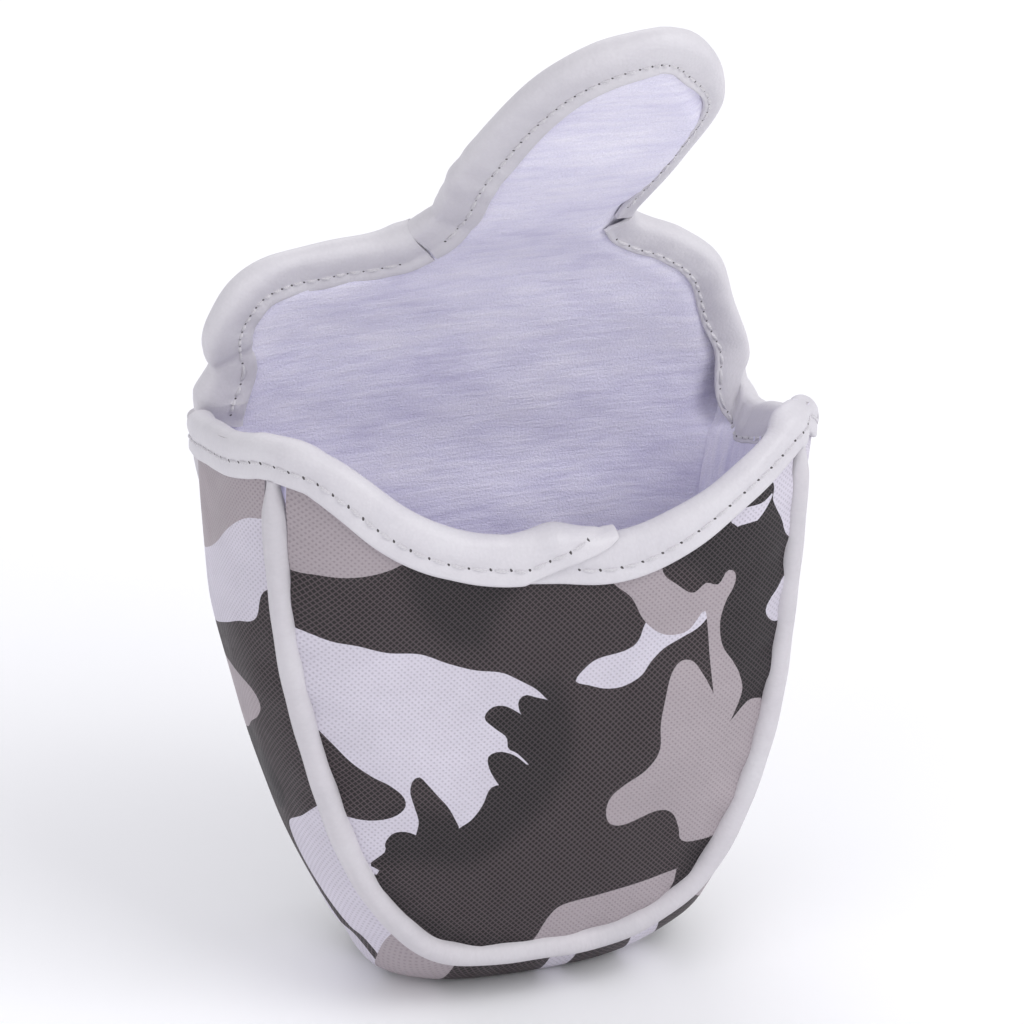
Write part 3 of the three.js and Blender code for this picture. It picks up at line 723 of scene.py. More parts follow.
def thread_material():
    """White sewing thread with a fine twist."""
    material, tree, shader = new_material("thread", Roughness=0.7)
    uv = cloth_map(tree)
    twist = add_node(tree, "ShaderNodeTexWave", {"bands_direction": "DIAGONAL"}, Vector=uv,
                     Scale=900.0, Distortion=1.0)
    strand = twist.outputs["Fac"]
    # Painted shade: the twist's grooves are a little darker.
    tone = ramp_colours(tree, strand, [(0.0, (204, 201, 206)), (1.0, (220, 218, 221))])
    link(tree, tone, shader.inputs["Base Color"])
    bump(tree, shader, strand, 0.00003)
    return material


def needle_hole_material():
    """Painted shade: a dark, mottled patch in the dent where the thread goes through."""
    material, tree, shader = new_material("needle_hole_shade", Roughness=0.9)
    uv = cloth_map(tree)
    hole_mottle = noise(tree, uv, 1500.0)
    tone = ramp_colours(tree, hole_mottle, [(0.3, (58, 55, 56)), (0.7, (96, 92, 94))])
    link(tree, tone, shader.inputs["Base Color"])
    return material


def magnet_material():
    """Nickel-plated disc with fine scratches."""
    material, tree, shader = new_material("magnet", Metallic=1.0)
    spot = add_node(tree, "ShaderNodeTexCoord").outputs["Object"]
    scratches = noise(tree, stretched(tree, spot, (1.0, 1.0, 0.05)), 2200.0, 4.0)
    tone = ramp_colours(tree, scratches, [(0.3, (150, 151, 155)), (0.7, (188, 189, 192))])
    link(tree, tone, shader.inputs["Base Color"])
    link(tree, remap(tree, scratches, 0.3, 0.7, 0.28, 0.42), shader.inputs["Roughness"])
    bump(tree, shader, scratches, 0.00002)
    return material


def floor_material():
    material, tree, shader = new_material("floor", Roughness=0.9, Specular_IOR_Level=0.1)
    spot = add_node(tree, "ShaderNodeTexCoord").outputs["Object"]
    paper = noise(tree, spot, 3.0)
    tone = ramp_colours(tree, paper, [(0.0, (250, 250, 252)), (1.0, (253, 253, 255))])
    link(tree, tone, shader.inputs["Base Color"])
    return material


HATCH_PITCH = 0.98 * MM
HATCH_ANGLES = (math.radians(42), math.radians(-46))
HATCH_WANDER = 0.25 * MM

LEATHER_LOOK = leather_material()
STRIP_LOOK = strip_material("binding_leather", (213, 210, 215), (204, 201, 207), (219, 217, 221))
# Painted shade: the piping is the binding's white leather made a little darker.
PIPING_LOOK = strip_material("piping_leather", (205, 201, 206), (196, 193, 198), (211, 209, 213))
PLUSH_LOOK = plush_material()
THREAD_LOOK = thread_material()
HOLE_SHADE_LOOK = needle_hole_material()
MAGNET_LOOK = magnet_material()


def dress(piece, look, slot, *more):
    for material in (look,) + more:
        piece.data.materials.append(material)


# ---- Placing the pieces: flap pieces stay where they are made, the others are attached to the cover ----


def bend_at_fold(piece):
    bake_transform(piece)


def bend_at_tip(piece):
    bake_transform(piece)


def stay(piece):
    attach(piece, "cover")


# ---- Leather panels ----

LEATHER_SPACING = 1.5
QUILT_SPACING = 2.0
NORMAL_STEP = (0.6, 0.6)
UNDER_PIPING = 2.0  # how far short of the seam line the leather ends, under the piping

left_rows = catmull([(row[0], row[1]) for row in FLAP_ROWS], ROW_STEPS)
right_rows = catmull([(row[2], row[3]) for row in FLAP_ROWS], ROW_STEPS)
ROOT_LENGTH = FLAP_ROWS[ROOT_ROW][1]


def front_boundary(inset, below_rim=0.0):
    edge = HALF_WIDTH - inset
    sides = inset_outline(outline(float(rim_height(-edge)), float(rim_height(edge))), inset)
    x = np.linspace(sides[-1][0], sides[0][0], 80)[1:-1]
    crest = np.stack([x, rim_height(x) - below_rim], 1)
    sides[0][1] -= below_rim
    sides[-1][1] -= below_rim
    return np.vstack([sides, crest])


def root_line(inset=0.0):
    """The two ends of the line across the tongue's root, left then right."""
    right = float(np.interp(ROOT_LENGTH, right_rows[:, 1], right_rows[:, 0]))
    return np.array([(FLAP_ROWS[ROOT_ROW][0] + inset, ROOT_LENGTH), (right - inset, ROOT_LENGTH)])


def back_boundary(inset, flap_inset=0.0):
    """Back panel and shoulders, up to the tongue's root."""
    sides = inset_outline(outline(LEFT_TOP["back"], RIGHT_TOP["back"], BACK_FLARE), inset)
    left = left_rows[left_rows[:, 1] < ROOT_LENGTH - 0.01] + (flap_inset, 0)
    right = right_rows[right_rows[:, 1] < ROOT_LENGTH - 0.01] - (flap_inset, 0)
    root = root_line(flap_inset)
    return np.vstack([sides, right, root[::-1], left[::-1]])


def tongue_boundary(flap_inset=0.0):
    """The tongue above its root line."""
    edges = []
    for rows, inset in ((left_rows, flap_inset), (right_rows, -flap_inset)):
        edge = rows[rows[:, 1] > ROOT_LENGTH + 0.01]
        tip = ramp(edge[:, 1], ROOT_LENGTH + 50, ROOT_LENGTH + 62)
        edges.append(edge + np.c_[inset * (1 - tip), 0 * tip])
    left, right = edges
    root = root_line(flap_inset)
    return np.vstack([root[1:], right, left[::-1], root[:1]])


def dents(u, v):
    """Slow unevenness of a stuffed panel, in millimetres."""
    return (0.28 * np.sin(u / 17 + 1.3) * np.sin(v / 23 + 0.4)
            + 0.16 * np.sin(u / 8.5 - v / 13 + 2.0)
            + 0.08 * np.sin(u / 5.1 + v / 6.7))


def seam_pucker(line):
    """Small gathers that fade away from a seam line."""
    run = run_along(line)

    def detail(u, v):
        gap, nearest = distance_to(np.stack([u, v], 1), line)
        s = run[nearest]
        gather = 0.22 * np.sin(s / 1.75) + 0.16 * np.sin(s / 2.9 + 1.0)
        return (1 - ramp(gap, 2, 11)) * gather + dents(u, v)

    return detail


front_line = outline(LEFT_TOP["front"], RIGHT_TOP["front"])
back_line = outline(LEFT_TOP["back"], RIGHT_TOP["back"], BACK_FLARE)


def gusset_flat(u, v):
    return gusset_skin(u, v / HALF_DEPTH)


def gusset_boundary(inset):
    edge = HALF_DEPTH - inset
    return np.array([(0, -edge), (GUSSET_LENGTH, -edge), (GUSSET_LENGTH, edge), (0, edge)])


def gusset_detail(u, v):
    near = 1 - ramp(HALF_DEPTH - np.abs(v), 2, 11)
    return near * (0.22 * np.sin(u / 1.8) + 0.15 * np.sin(u / 3.1)) + dents(u, v)


def leather_panel(name, skin, boundary, print_shapes, shades, outward, detail, replaced, bend):
    """A printed panel. outward is 1 where du x dv points out of the pocket."""
    flat, faces, inks = cut_cloth(boundary, print_shapes, LEATHER_SPACING)
    colours = corner_colours(flat, faces, inks, shades)
    u, v = flat[:, 0], flat[:, 1]
    out = normals_of(skin, u, v, NORMAL_STEP) * outward
    points = skin(u, v) + out * detail(u, v)[:, None]
    if outward < 0:
        faces, colours = faces[:, ::-1], colours[:, ::-1]
    piece = closed_layer(name, points - out * LEATHER[0], points - out * LEATHER[1], faces, flat,
                         colours)
    dress(piece, LEATHER_LOOK, "camo_leather")
    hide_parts(*replaced)
    bend(piece)


leather_panel("front_leather", front_skin, front_boundary(UNDER_PIPING), FRONT_PRINT, FRONT_SHADE, 1,
              seam_pucker(front_line), ["front_panel"], stay)
leather_panel("gusset_leather", gusset_flat, gusset_boundary(UNDER_PIPING), GUSSET_PRINT,
              GUSSET_SHADE, 1, gusset_detail, ["gusset_panel"], stay)
leather_panel("back_leather", back_skin, back_boundary(UNDER_PIPING), BACK_PRINT, BACK_SHADE, -1,
              seam_pucker(back_line), ["back_panel", "flap_panel"], bend_at_fold)
leather_panel("tongue_leather", back_skin, tongue_boundary(), BACK_PRINT, BACK_SHADE, -1, dents,
              ["flap_tip_panel"], bend_at_tip)


# ---- Quilts: foam padding faced with plush ----

EDGE_DEPTH = 1.0  # how thick a quilt still is at its edge
RIM_BAND = 9.0    # it thins over this band towards the mouth and the flap's edge
SEAM_BAND = 0.4   # and over this one towards a seam


def plush_relief(u, v):
    """Unevenness of the pile: slow swells with finer tufts."""
    return (0.45 * np.sin(u / 13 + 0.7) * np.sin(v / 9 + 0.2) + 0.25 * np.sin(v / 4.3 + u / 21)
            + 0.12 * np.sin(u / 2.9 + 1.1) * np.sin(v / 2.3))


def quilt(name, skin, boundary, outward, at_rim, replaced, bend, open_line=None, band=None):
    """A padded layer with a plush face that thins towards its edges.

    at_rim tells which points of the boundary lie on the mouth or the flap's edge. There is no
    thinning along open_line, where the next quilt carries on. band replaces RIM_BAND.
    """
    flat, faces, _ = cut_cloth(boundary, [], QUILT_SPACING)
    u, v = flat[:, 0], flat[:, 1]
    points = skin(u, v)
    out = normals_of(skin, u, v, NORMAL_STEP) * outward
    line = resample(boundary, 1.0, closed=True)
    if open_line is not None:
        line = line[np.abs(line[:, 1] - open_line) > 0.5]
    rim = at_rim(line[:, 0], line[:, 1])
    to_rim, _ = distance_to(flat, line[rim])
    full = ramp(to_rim / (RIM_BAND if band is None else band(u, v)), 0, 1)
    if not rim.all():
        to_seam, _ = distance_to(flat, line[~rim])
        full = full * np.sqrt(1 - (1 - np.clip(to_seam / SEAM_BAND, 0, 1)) ** 2)
    depth = lerp(QUILT[0] + EDGE_DEPTH, QUILT[1], full) + plush_relief(u, v) * full
    if outward < 0:
        faces = faces[:, ::-1]
    piece = closed_layer(name, points - out * QUILT[0], points - out * depth[:, None], faces, flat)
    dress(piece, PLUSH_LOOK, "plush")
    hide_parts(*replaced)
    bend(piece)


quilt("front_quilt", front_skin, front_boundary(2.0, 0.5), 1, lambda x, h: h > rim_height(x) - 2,
      ["front_padding", "front_lining"], stay)
quilt("gusset_quilt", gusset_flat, gusset_boundary(0.2), 1,
      lambda u, v: np.abs(u - GUSSET_LENGTH / 2) > GUSSET_LENGTH / 2 - 1,
      ["gusset_padding", "gusset_lining"], stay)
quilt("back_quilt", back_skin, back_boundary(0.0, 0.8), -1,
      lambda x, length: length > lerp(LEFT_TOP["back"], RIGHT_TOP["back"], (x + 60) / 120),
      ["back_padding", "back_lining", "flap_padding", "flap_lining"], bend_at_fold, ROOT_LENGTH)


def tongue_band(x, length):
    """The plush stays full almost up to the narrow strip on the tongue's right edge."""
    right_half = ramp(x - 9 - 0.2 * (length - ROOT_LENGTH), 4, 14)
    return lerp(RIM_BAND, 3.5, right_half * ramp(length, 170, 178) * (1 - ramp(length, 200, 214)))


quilt("tongue_quilt", back_skin, tongue_boundary(0.8), -1, lambda x, length: length > 0,
      ["flap_tip_padding", "flap_tip_lining"], bend_at_tip, ROOT_LENGTH, tongue_band)


# ---- Piping ----

PIPING_SIDES = 20
PIPING_SAMPLES = 900
PIPING_CENTRE = 70  # the wrapping's seam faces away from this height in the middle
PIPING_THINNED = 9  # length over which an end gets thinner


def piping(name, line, start, end, thin_ends):
    """A cord wrapped in a strip, along a stretch of a seam given in fractions."""
    index = np.linspace(start, end, PIPING_SAMPLES) * SEAM_SAMPLES
    path = resample(rows_at(index, np.arange(len(line)), line), 1.0)
    outs = np.stack([path[:, 0], path[:, 1] * 0, path[:, 2] - PIPING_CENTRE], 1)
    run = run_along(path)
    angles = np.linspace(0, 2 * math.pi, PIPING_SIDES, endpoint=False)
    circle = np.stack([np.cos(angles), np.sin(angles)], 1)
    size = PIPING_RADIUS * (1 + 0.03 * np.sin(run / 6.1) + 0.02 * np.sin(run / 2.3 + 1))
    from_end = np.minimum(run, run[-1] - run)
    size = size * lerp(thin_ends, 1, ramp(from_end, 0, PIPING_THINNED))
    rings = circle[None] * size[:, None, None]
    piece = sweep(name, path, outs, rings)
    dress(piece, PIPING_LOOK, "white_strip")
    stay(piece)
    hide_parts(name + "_cover", name + "_cord")


piping("front_piping", front_seam, 0.026, 0.972, 0.5)
piping("back_piping", back_seam, 0.006, 0.994, 1.0)


# ---- Folded binding strips ----

STRIP = 0.8         # thickness
STRIP_STEP = 1.1    # between rings along the edge
STITCH_DEPTH = 0.35
EDGE_ROUND = 0.35   # how far the lower edge is rounded off, over EDGE_ROUND_OVER
EDGE_ROUND_OVER = 0.6
SLOPE_STEP = 0.4
# Outside of the strip from the fold's crest down each side: out of the pocket, over the edge.
PROFILES = {
    "outer": [(-1.8, 1.3), (-0.7, 1.1), (0.3, 0.5), (0.95, -0.6), (1.35, -3.2), (1.35, -7),
              (1.3, -10), (1.3, -14)],
    "inner": [(-1.8, 1.3), (-2.9, 1.1), (-3.8, 0.4), (-4.3, -0.8), (-5.0, -3.5), (-5.8, -6.0),
              (-6.3, -8.2), (-6.5, -10), (-6.6, -14)],
}
# Distances from a strip's lower edge that follow its stitched groove closely.
EDGE_STEPS = np.array([0, 0.25, 0.6, 1.1, 1.8, 2.5, 3.1, 3.7, 4.3, 5.0])
SIDE_STEPS = 7


def measured(points):
    """A smooth line through points, with the length along it as the first column."""
    line = catmull(points, 12)
    run = run_along(line)
    return np.c_[run, line]


PROFILE_LINES = {side: measured(points) for side, points in PROFILES.items()}


def reach_of(side, leg):
    """Length from the crest to where the strip has come leg down from the edge."""
    line = PROFILE_LINES[side]
    return float(np.interp(leg, -line[:, 2], line[:, 0]))


class FoldedStrip:
    """A strip folded over an edge.

    at runs along the edge, q from the fold's crest down a side. reach(side, at) is q at the
    lower edge, margin(at) is how far inside it the stitches run, and lift(at, q) adds to the
    height over the fold. overs, where given, are the directions in which the strip stands.
    """

    def __init__(self, points, outs, flip, reach, margin, pitch, lift, seed, overs=None):
        both = np.hstack([points, outs] if overs is None else [points, outs, overs])
        run = run_along(points)
        self.at = np.linspace(0, run[-1], int(round(run[-1] / STRIP_STEP)) + 1)
        even = rows_at(self.at, run, both)
        path, out = even[:, :3], even[:, 3:6]
        along = unit(np.gradient(path, axis=0))
        if overs is None:
            out = square_to(out, along)
            over = np.cross(along, out) * flip
        else:
            out, over = unit(out), unit(even[:, 6:])
        self.frames = np.hstack([path, along, out, over])
        self.flip = flip
        self.reach, self.margin, self.lift = reach, margin, lift
        self.pitch, self.seed = pitch, seed

    def surface(self, side, at, q):
        """Points on the outside of the strip with their normals, for equal arrays at and q."""
        line = PROFILE_LINES[side]
        spot, ahead, behind = (rows_at(place, line[:, 0], line[:, 1:])
                               for place in (q, q + SLOPE_STEP, q - SLOPE_STEP))
        slope = unit(ahead - behind)
        turn = 1.0 if side == "outer" else -1.0
        normal = np.stack([-slope[..., 1], slope[..., 0]], -1) * turn
        from_edge = self.reach(side, at) - q
        margin = self.margin(at)
        groove = np.exp(-(from_edge - margin) ** 2)
        pull = 0.8 + 0.3 * np.cos(2 * math.pi * at / self.pitch)
        round_off = EDGE_ROUND * (1 - np.clip(from_edge / EDGE_ROUND_OVER, 0, 1)) ** 2
        belly = np.clip((from_edge - margin) / 3, 0, 1) * np.clip((q - 1) / 3, 0, 1)
        swell = 0.2 * np.sin(at / 7.3 + self.seed) + 0.1 * np.sin(at / 3.1 + 2 * self.seed)
        height = belly * (0.2 + swell) - groove * pull * STITCH_DEPTH - round_off
        height = height + self.lift(at, q)
        wander = 0.22 * np.sin(at / 8.7 + self.seed) + 0.14 * np.sin(at / 3.9 + 3 * self.seed)
        spot = spot + normal * height[..., None]
        path, along, out, over = np.split(rows_at(at, self.at, self.frames), 4, axis=-1)
        points = path + out * spot[..., :1] + over * (spot[..., 1:] + wander[..., None])
        return points, out * normal[..., :1] + over * normal[..., 1:], along

    def rings(self):
        outside, inside_face = [], []
        for side in ("outer", "inner"):
            reach = self.reach(side, self.at)
            near = reach[:, None] - EDGE_STEPS[None] * np.minimum(1, reach / 8)[:, None]
            rest = near[:, -1:] * np.linspace(1, 0, SIDE_STEPS)[None, 1:]
            q = np.hstack([near, rest])
            at = np.broadcast_to(self.at[:, None], q.shape)
            points, normals, _ = self.surface(side, at, q)
            inner = points - normals * STRIP
            if side == "inner":
                points, inner = points[:, -2::-1], inner[:, -2::-1]
            outside.append(points)
            inside_face.append(inner)
        return np.concatenate(outside, axis=1), np.concatenate(inside_face, axis=1)

    def piece(self, name):
        outside, inner = self.rings()
        rings = np.concatenate([outside, inner[:, ::-1]], axis=1)
        rows, columns = rings.shape[:2]
        girth = run_along(rings[rows // 2])
        uvs = np.stack(np.broadcast_arrays(self.at[:, None], girth[None]), -1).reshape(-1, 2)
        index, quads = tube_quads(rows, columns)
        caps = []
        for k in range(columns // 2 - 1):
            mirror = columns - 1 - k
            caps.append((index[0][k], index[0][mirror], index[0][mirror - 1], index[0][k + 1]))
            caps.append((index[-1][k], index[-1][k + 1], index[-1][mirror - 1], index[-1][mirror]))
        faces = np.vstack([quads, caps])
        if self.flip < 0:
            faces = faces[:, ::-1]
        piece = new_mesh(name, rings.reshape(-1, 3), [tuple(f) for f in faces], uvs)
        dress(piece, STRIP_LOOK, "white_strip")
        return piece


THREAD_RADIUS = 0.36
THREAD_SIDES = 6
THREAD_STEPS = np.linspace(-1, 1, 7)  # from one end of a stitch to the other
THREAD_ARCH = 0.34
THREAD_SUNK = 0.18
THREAD_FLATNESS = 0.8
STITCH_HALF = 0.40  # half of a stitch's length, as a share of the pitch
STITCH_SLANT = 0.12
HOLE_SIDES = 8
HOLE_SLANT = (0.85, 0.53)  # its long way, across and along the strip
HOLE_RINGS = ((1.0, -0.12), (0.9, 0.07), (0.4, 0.1))  # share of its size, height


def stitches(name, strip, sides, start=0.0, end=0.0, hole=(0.75, 0.3)):
    """Thread stitches between slanted needle dents, along a strip's groove, with a dark disc of painted
    shade in each dent.
    """
    points, uvs, faces, slots = [], [], [], []

    def add_tube(rings, ring_uvs, slot):
        tube = tube_faces(rings.shape[0], rings.shape[1], len(points))
        points.extend(rings.reshape(-1, 3))
        uvs.extend(ring_uvs.reshape(-1, 2))
        faces.extend(tube)
        slots.extend([slot] * len(tube))

    def thread(side, number):
        at = (number + 0.5 + STITCH_HALF * THREAD_STEPS) * strip.pitch
        q = strip.reach(side, at) - strip.margin(at) + STITCH_SLANT * THREAD_STEPS
        centre, normal, along = strip.surface(side, at, q)
        across = np.cross(along, normal)[:, None]
        centre = (centre + normal * (THREAD_ARCH * (1 - THREAD_STEPS ** 4) - THREAD_SUNK)[:, None])
        size = (THREAD_RADIUS * (1 - 0.5 * np.abs(THREAD_STEPS) ** 3))[:, None]
        turn = np.linspace(0, 2 * math.pi, THREAD_SIDES, endpoint=False)
        rise = (np.cos(turn) * size * THREAD_FLATNESS)[..., None]
        rings = centre[:, None] + normal[:, None] * rise + across * (np.sin(turn) * size)[..., None]
        add_tube(rings, np.stack(np.broadcast_arrays(at[:, None], turn * size), -1), 0)

    # Each needle dent gets a small dark disc of painted shade.
    def needle_hole_shade(side, number):
        at = np.array([number * strip.pitch])
        q = strip.reach(side, at) - strip.margin(at)
        centre, normal, along = (part[0] for part in strip.surface(side, at, q))
        long_way = np.cross(along, normal) * HOLE_SLANT[0] + along * HOLE_SLANT[1]
        short_way = np.cross(normal, long_way)
        turn = np.linspace(0, 2 * math.pi, HOLE_SIDES, endpoint=False)
        x, y = np.cos(turn)[:, None] * hole[0], np.sin(turn)[:, None] * hole[1]
        rings = np.stack([centre + (long_way * x + short_way * y) * share + normal * rise
                          for share, rise in HOLE_RINGS])
        add_tube(rings, np.tile(np.hstack([at + x, y]), (len(HOLE_RINGS), 1)), 1)

    first = math.ceil(start / strip.pitch)
    last = math.floor((strip.at[-1] - end) / strip.pitch)
    for side in sides:
        for number in range(first, last):
            thread(side, number)
        for number in range(first, last + 1):
            needle_hole_shade(side, number)
    piece = new_mesh(name, points, faces, uvs)
    piece.data.polygons.foreach_set("material_index", np.array(slots, np.int32))
    dress(piece, THREAD_LOOK, "white_strip", HOLE_SHADE_LOOK)
    return piece


def ridges(at, q, *rows):
    """Ridges, or with a negative height creases, across a strip: place, width, height, slant."""
    return sum(height * np.exp(-((at - place - slant * q) / width) ** 2)
               for place, width, height, slant in rows)


def gathers(at, height, width):
    return height * np.sin(at / width)


def steady(margin):
    """The same margin all along a strip."""
    return lambda at: margin + 0 * at


# ---- The mouth's two strips, the left one lapped over the right ----

RIM_PITCH = 4.1
RIM_MARGIN = 3.7
LAP_LOW_X = -7.0   # the left strip's outer edge turns up here
LAP_HIGH_X = 13.0  # and ends here, at the crest
LAP_RISE = 1.3     # how far the left strip rises over the right one
RIGHT_START_X = -7.5
# Where the mouth's path is taken: across the gusset's two ends, and along the front's rim.
LEFT_END_ACROSS = [-0.7, -0.4, -0.1, 0.15, 0.45, 0.7, 0.88]
RIM_X = [-55, -50, -42, -33, -25, -17, -8, 1, 10, 19, 28, 37, 46, 52, 55]
RIGHT_END_ACROSS = [0.88, 0.7, 0.42]

mouth_points, mouth_outs = [], []


def mouth_along_gusset(t, places):
    along = t * GUSSET_LENGTH
    level = min(0.99, max(0.01, t)) * GUSSET_LENGTH
    for across in places:
        mouth_points.append(gusset_skin(along, across))
        mouth_outs.append(normals_of(gusset_skin, np.array(level), np.array(across), (3.0, 0.01)))


mouth_along_gusset(0, LEFT_END_ACROSS)
for x in RIM_X:
    height = float(rim_height(x))
    mouth_points.append(front_skin(x, height))
    mouth_outs.append(normals_of(front_skin, np.array(float(x)), np.array(height - 6), (0.5, 0.5)))
mouth_along_gusset(1, RIGHT_END_ACROSS)
mouth = resample(catmull(np.hstack([mouth_points, mouth_outs]), 16), 1.0)
mouth_run = run_along(mouth[:, :3])


def mouth_index(x):
    """Number of the mouth point that stands at x on the front rim."""
    return int(np.argmax((mouth[:, 0] > x) & (mouth[:, 1] < -20)))


LEFT_FULL = mouth_run[mouth_index(LAP_LOW_X)]
LEFT_END = mouth_run[mouth_index(LAP_HIGH_X)]
RIGHT_FROM = mouth_run[mouth_index(RIGHT_START_X)]
FRONT_CORNER_LEFT = mouth_run[mouth_index(-54)]
FRONT_CORNER_RIGHT = mouth_run[mouth_index(54)]
RIGHT_RUN = mouth_run[-1] - RIGHT_FROM


def left_reach(side, at):
    corner_leg, front_leg = 7.8, 9.6
    leg = lerp(corner_leg, front_leg, ramp(at, FRONT_CORNER_LEFT - 5, FRONT_CORNER_LEFT + 35))
    full = leg + reach_of(side, 0.0) + 0.3 * np.sin(at / 19)
    turned_up = np.clip((at - LEFT_FULL) / (LEFT_END - LEFT_FULL), 0, 1)
    if side == "inner":
        turned_up = ramp(turned_up, 0.55, 1.0)
    return lerp(full, 2.2, turned_up)


def left_lift(at, q):
    """Rises where it lies over the right strip, behind a slanted valley."""
    over_the_other = LAP_RISE * ramp(at + 0.9 * q, LEFT_FULL - 1, LEFT_FULL + 9)
    crest = ridges(at, q, (LEFT_FULL + 4, 4.0, 0.8, 0.9)) * (1 - ramp(q, 1, 9))
    corner_and_valley = ridges(at, q, (FRONT_CORNER_LEFT - 2, 4.5, 0.35, 0),
                               (FRONT_CORNER_LEFT + 5, 1.8, -0.2, 0), (LEFT_FULL - 3, 2.6, -0.35, -0.9))
    return over_the_other + corner_and_valley + crest


def right_reach(side, at):
    leg = lerp(9.4, 6.8, ramp(at, 25, 50))
    full = leg + reach_of(side, 0.0) + 0.25 * np.sin(at / 15 + 1)
    rounded_end = np.clip((at - RIGHT_RUN + 8) / 8, 0, 1)
    return full * np.sqrt(1 - 0.8 * rounded_end ** 2)


def right_lift(at, q):
    """A ball where it turns the corner, then a crease."""
    past_corner = at + RIGHT_FROM - FRONT_CORNER_RIGHT
    ball_and_crease = ridges(past_corner, q, (3, 5.0, 1.1, 0), (10, 1.4, -0.5, 0))
    return ball_and_crease + gathers(at, 0.12, 2.6) * ramp(q, 4, 9)


def mouth_strips():
    left = slice(0, mouth_index(LAP_HIGH_X) + 1)
    strip = FoldedStrip(mouth[left, :3], mouth[left, 3:], -1, left_reach, steady(RIM_MARGIN), RIM_PITCH,
                        left_lift, 1.0)
    piece = strip.piece("rim_strip_left")
    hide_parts("rim_binding_left")
    stay(piece)
    stay(stitches("rim_stitches_left", strip, ("outer", "inner"), end=4.0))
    right = slice(mouth_index(RIGHT_START_X), len(mouth))
    strip = FoldedStrip(mouth[right, :3], mouth[right, 3:], -1, right_reach, steady(RIM_MARGIN), RIM_PITCH,
                        right_lift, 2.0)
    piece = strip.piece("rim_strip_right")
    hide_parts("rim_binding_right")
    stay(piece)
    stay(stitches("rim_stitches_right", strip, ("outer",), start=9.0))
    stay(stitches("rim_stitches_right_inside", strip, ("inner",), start=20.0))


mouth_strips()


# ---- The flap's three strips ----

FLAP_PITCH = 3.4
WIDE_MARGIN = 3.2
NARROW_MARGIN = 1.3
NARROW_LEG = 6.3    # the right shoulder's strip comes down less than the wide ones
CORNER_EXTRA = 3.0  # and this much more in the corner
# Flat places on the back panel, as x and length along it: the right corner itself, where the
# strip runs straight up again after it, and two places that lead into the left edge.
RIGHT_CORNER = (64.6, 108.0)
RIGHT_STRAIGHT = (64.4, 118.5)
LEFT_CORNER = [(-62.3, 115.5), (-62.6, 123)]


def flap_edge(flat):
    """Points along a flap edge with their directions out of the pocket."""
    points = back_skin(flat[:, 0], flat[:, 1])
    outs = -normals_of(back_skin, flat[:, 0], flat[:, 1], (0.5, 0.5))
    return points, outs


def flap_strip(name, edge, flip, bend, cad_nodes, reach, margin, lift, seed):
    points, outs, *overs = edge
    strip = FoldedStrip(points, outs, flip, reach, margin, FLAP_PITCH, lift, seed, *overs)
    piece = strip.piece(name)
    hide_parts(*cad_nodes)
    bend(piece)
    row = stitches(name.replace("strip", "stitches"), strip, ("outer", "inner"), start=2.0, end=2.0,
                   hole=(0.34, 0.26))
    bend(row)


def wide_reach(side, at):
    return reach_of(side, FLAP_LEG) + 0.25 * np.sin(at / 11)


def narrow_reach(side, at):
    """Narrow on the shoulder and wider round the corner, where it covers the quilts' ends."""
    corner = ramp(at, 16, 28) * (1 - ramp(at, 48, 60))
    return reach_of(side, NARROW_LEG) + CORNER_EXTRA * corner + 0.25 * np.sin(at / 9)


def left_shoulder_lift(at, q):
    """A bulge at the corner, a crease above it, then small gathers round the bend."""
    folds = ridges(at, q, (8, 5, 0.9, 0), (17, 2.0, -0.7, 0.3), (1.5, 1.2, -0.4, 0),
                   (LEFT_ROOT_RUN - 3, 2.5, 0.5, 0))
    return folds + gathers(at, 0.1, 1.9) * ramp(at, 24, 34) * ramp(q, 2, 6)


def right_shoulder_lift(at, q):
    """Creases where it turns up at the corner, then small gathers."""
    creases = ridges(at, q, *((place, 1.3, -0.4, 0.15) for place in (34, 39, 45)))
    return creases + gathers(at, 0.12, 1.6) * ramp(at, 55, 62) * ramp(q, 2, 6)


left_shoulder = np.vstack([LEFT_CORNER, left_rows[:ROOT_ROW * ROW_STEPS + 1]])
LEFT_ROOT_RUN = run_along(left_shoulder)[-1]
flap_strip("left_shoulder_strip", flap_edge(left_shoulder), 1, bend_at_fold, ["left_shoulder_binding"],
           wide_reach, steady(WIDE_MARGIN), left_shoulder_lift, 3.0)


def right_shoulder_edge():
    """Back along the gusset's top edge, round the corner, then up the right edge of the flap.

    The strip hangs down the gusset until the corner, and lies across the back panel after it.
    """
    across = np.array([0.62, 0.3, 0.0, -0.3, -0.6])
    top = np.full(len(across), GUSSET_LENGTH)
    side_outs = normals_of(gusset_skin, top * 0.99, across, (3.0, 0.01))
    side_points = gusset_skin(top, across)
    side = np.hstack([side_points, side_outs, side_points - gusset_skin(top - 1, across)])
    rows = right_rows[ROW_STEPS:ROOT_ROW * ROW_STEPS + 1:ROW_STEPS]
    flat = np.vstack([RIGHT_STRAIGHT, rows])
    slope = unit(np.gradient(flat, axis=0))
    aside = np.stack([slope[:, 1], -slope[:, 0]], 1)
    up_points, up_outs = flap_edge(flat)
    beyond, _ = flap_edge(flat + aside)
    up = np.hstack([up_points, up_outs, beyond - up_points])
    corner, _ = flap_edge(np.array([RIGHT_CORNER]))
    halfway = (side[-1] + up[0]) / 2
    halfway[:3] = lerp(halfway[:3], corner[0], math.sqrt(2) - 1)
    halfway[6:] = side[-1, 6:]
    smooth = catmull(np.vstack([side, halfway, up]), 8)
    return smooth[:, :3], smooth[:, 3:6], smooth[:, 6:]


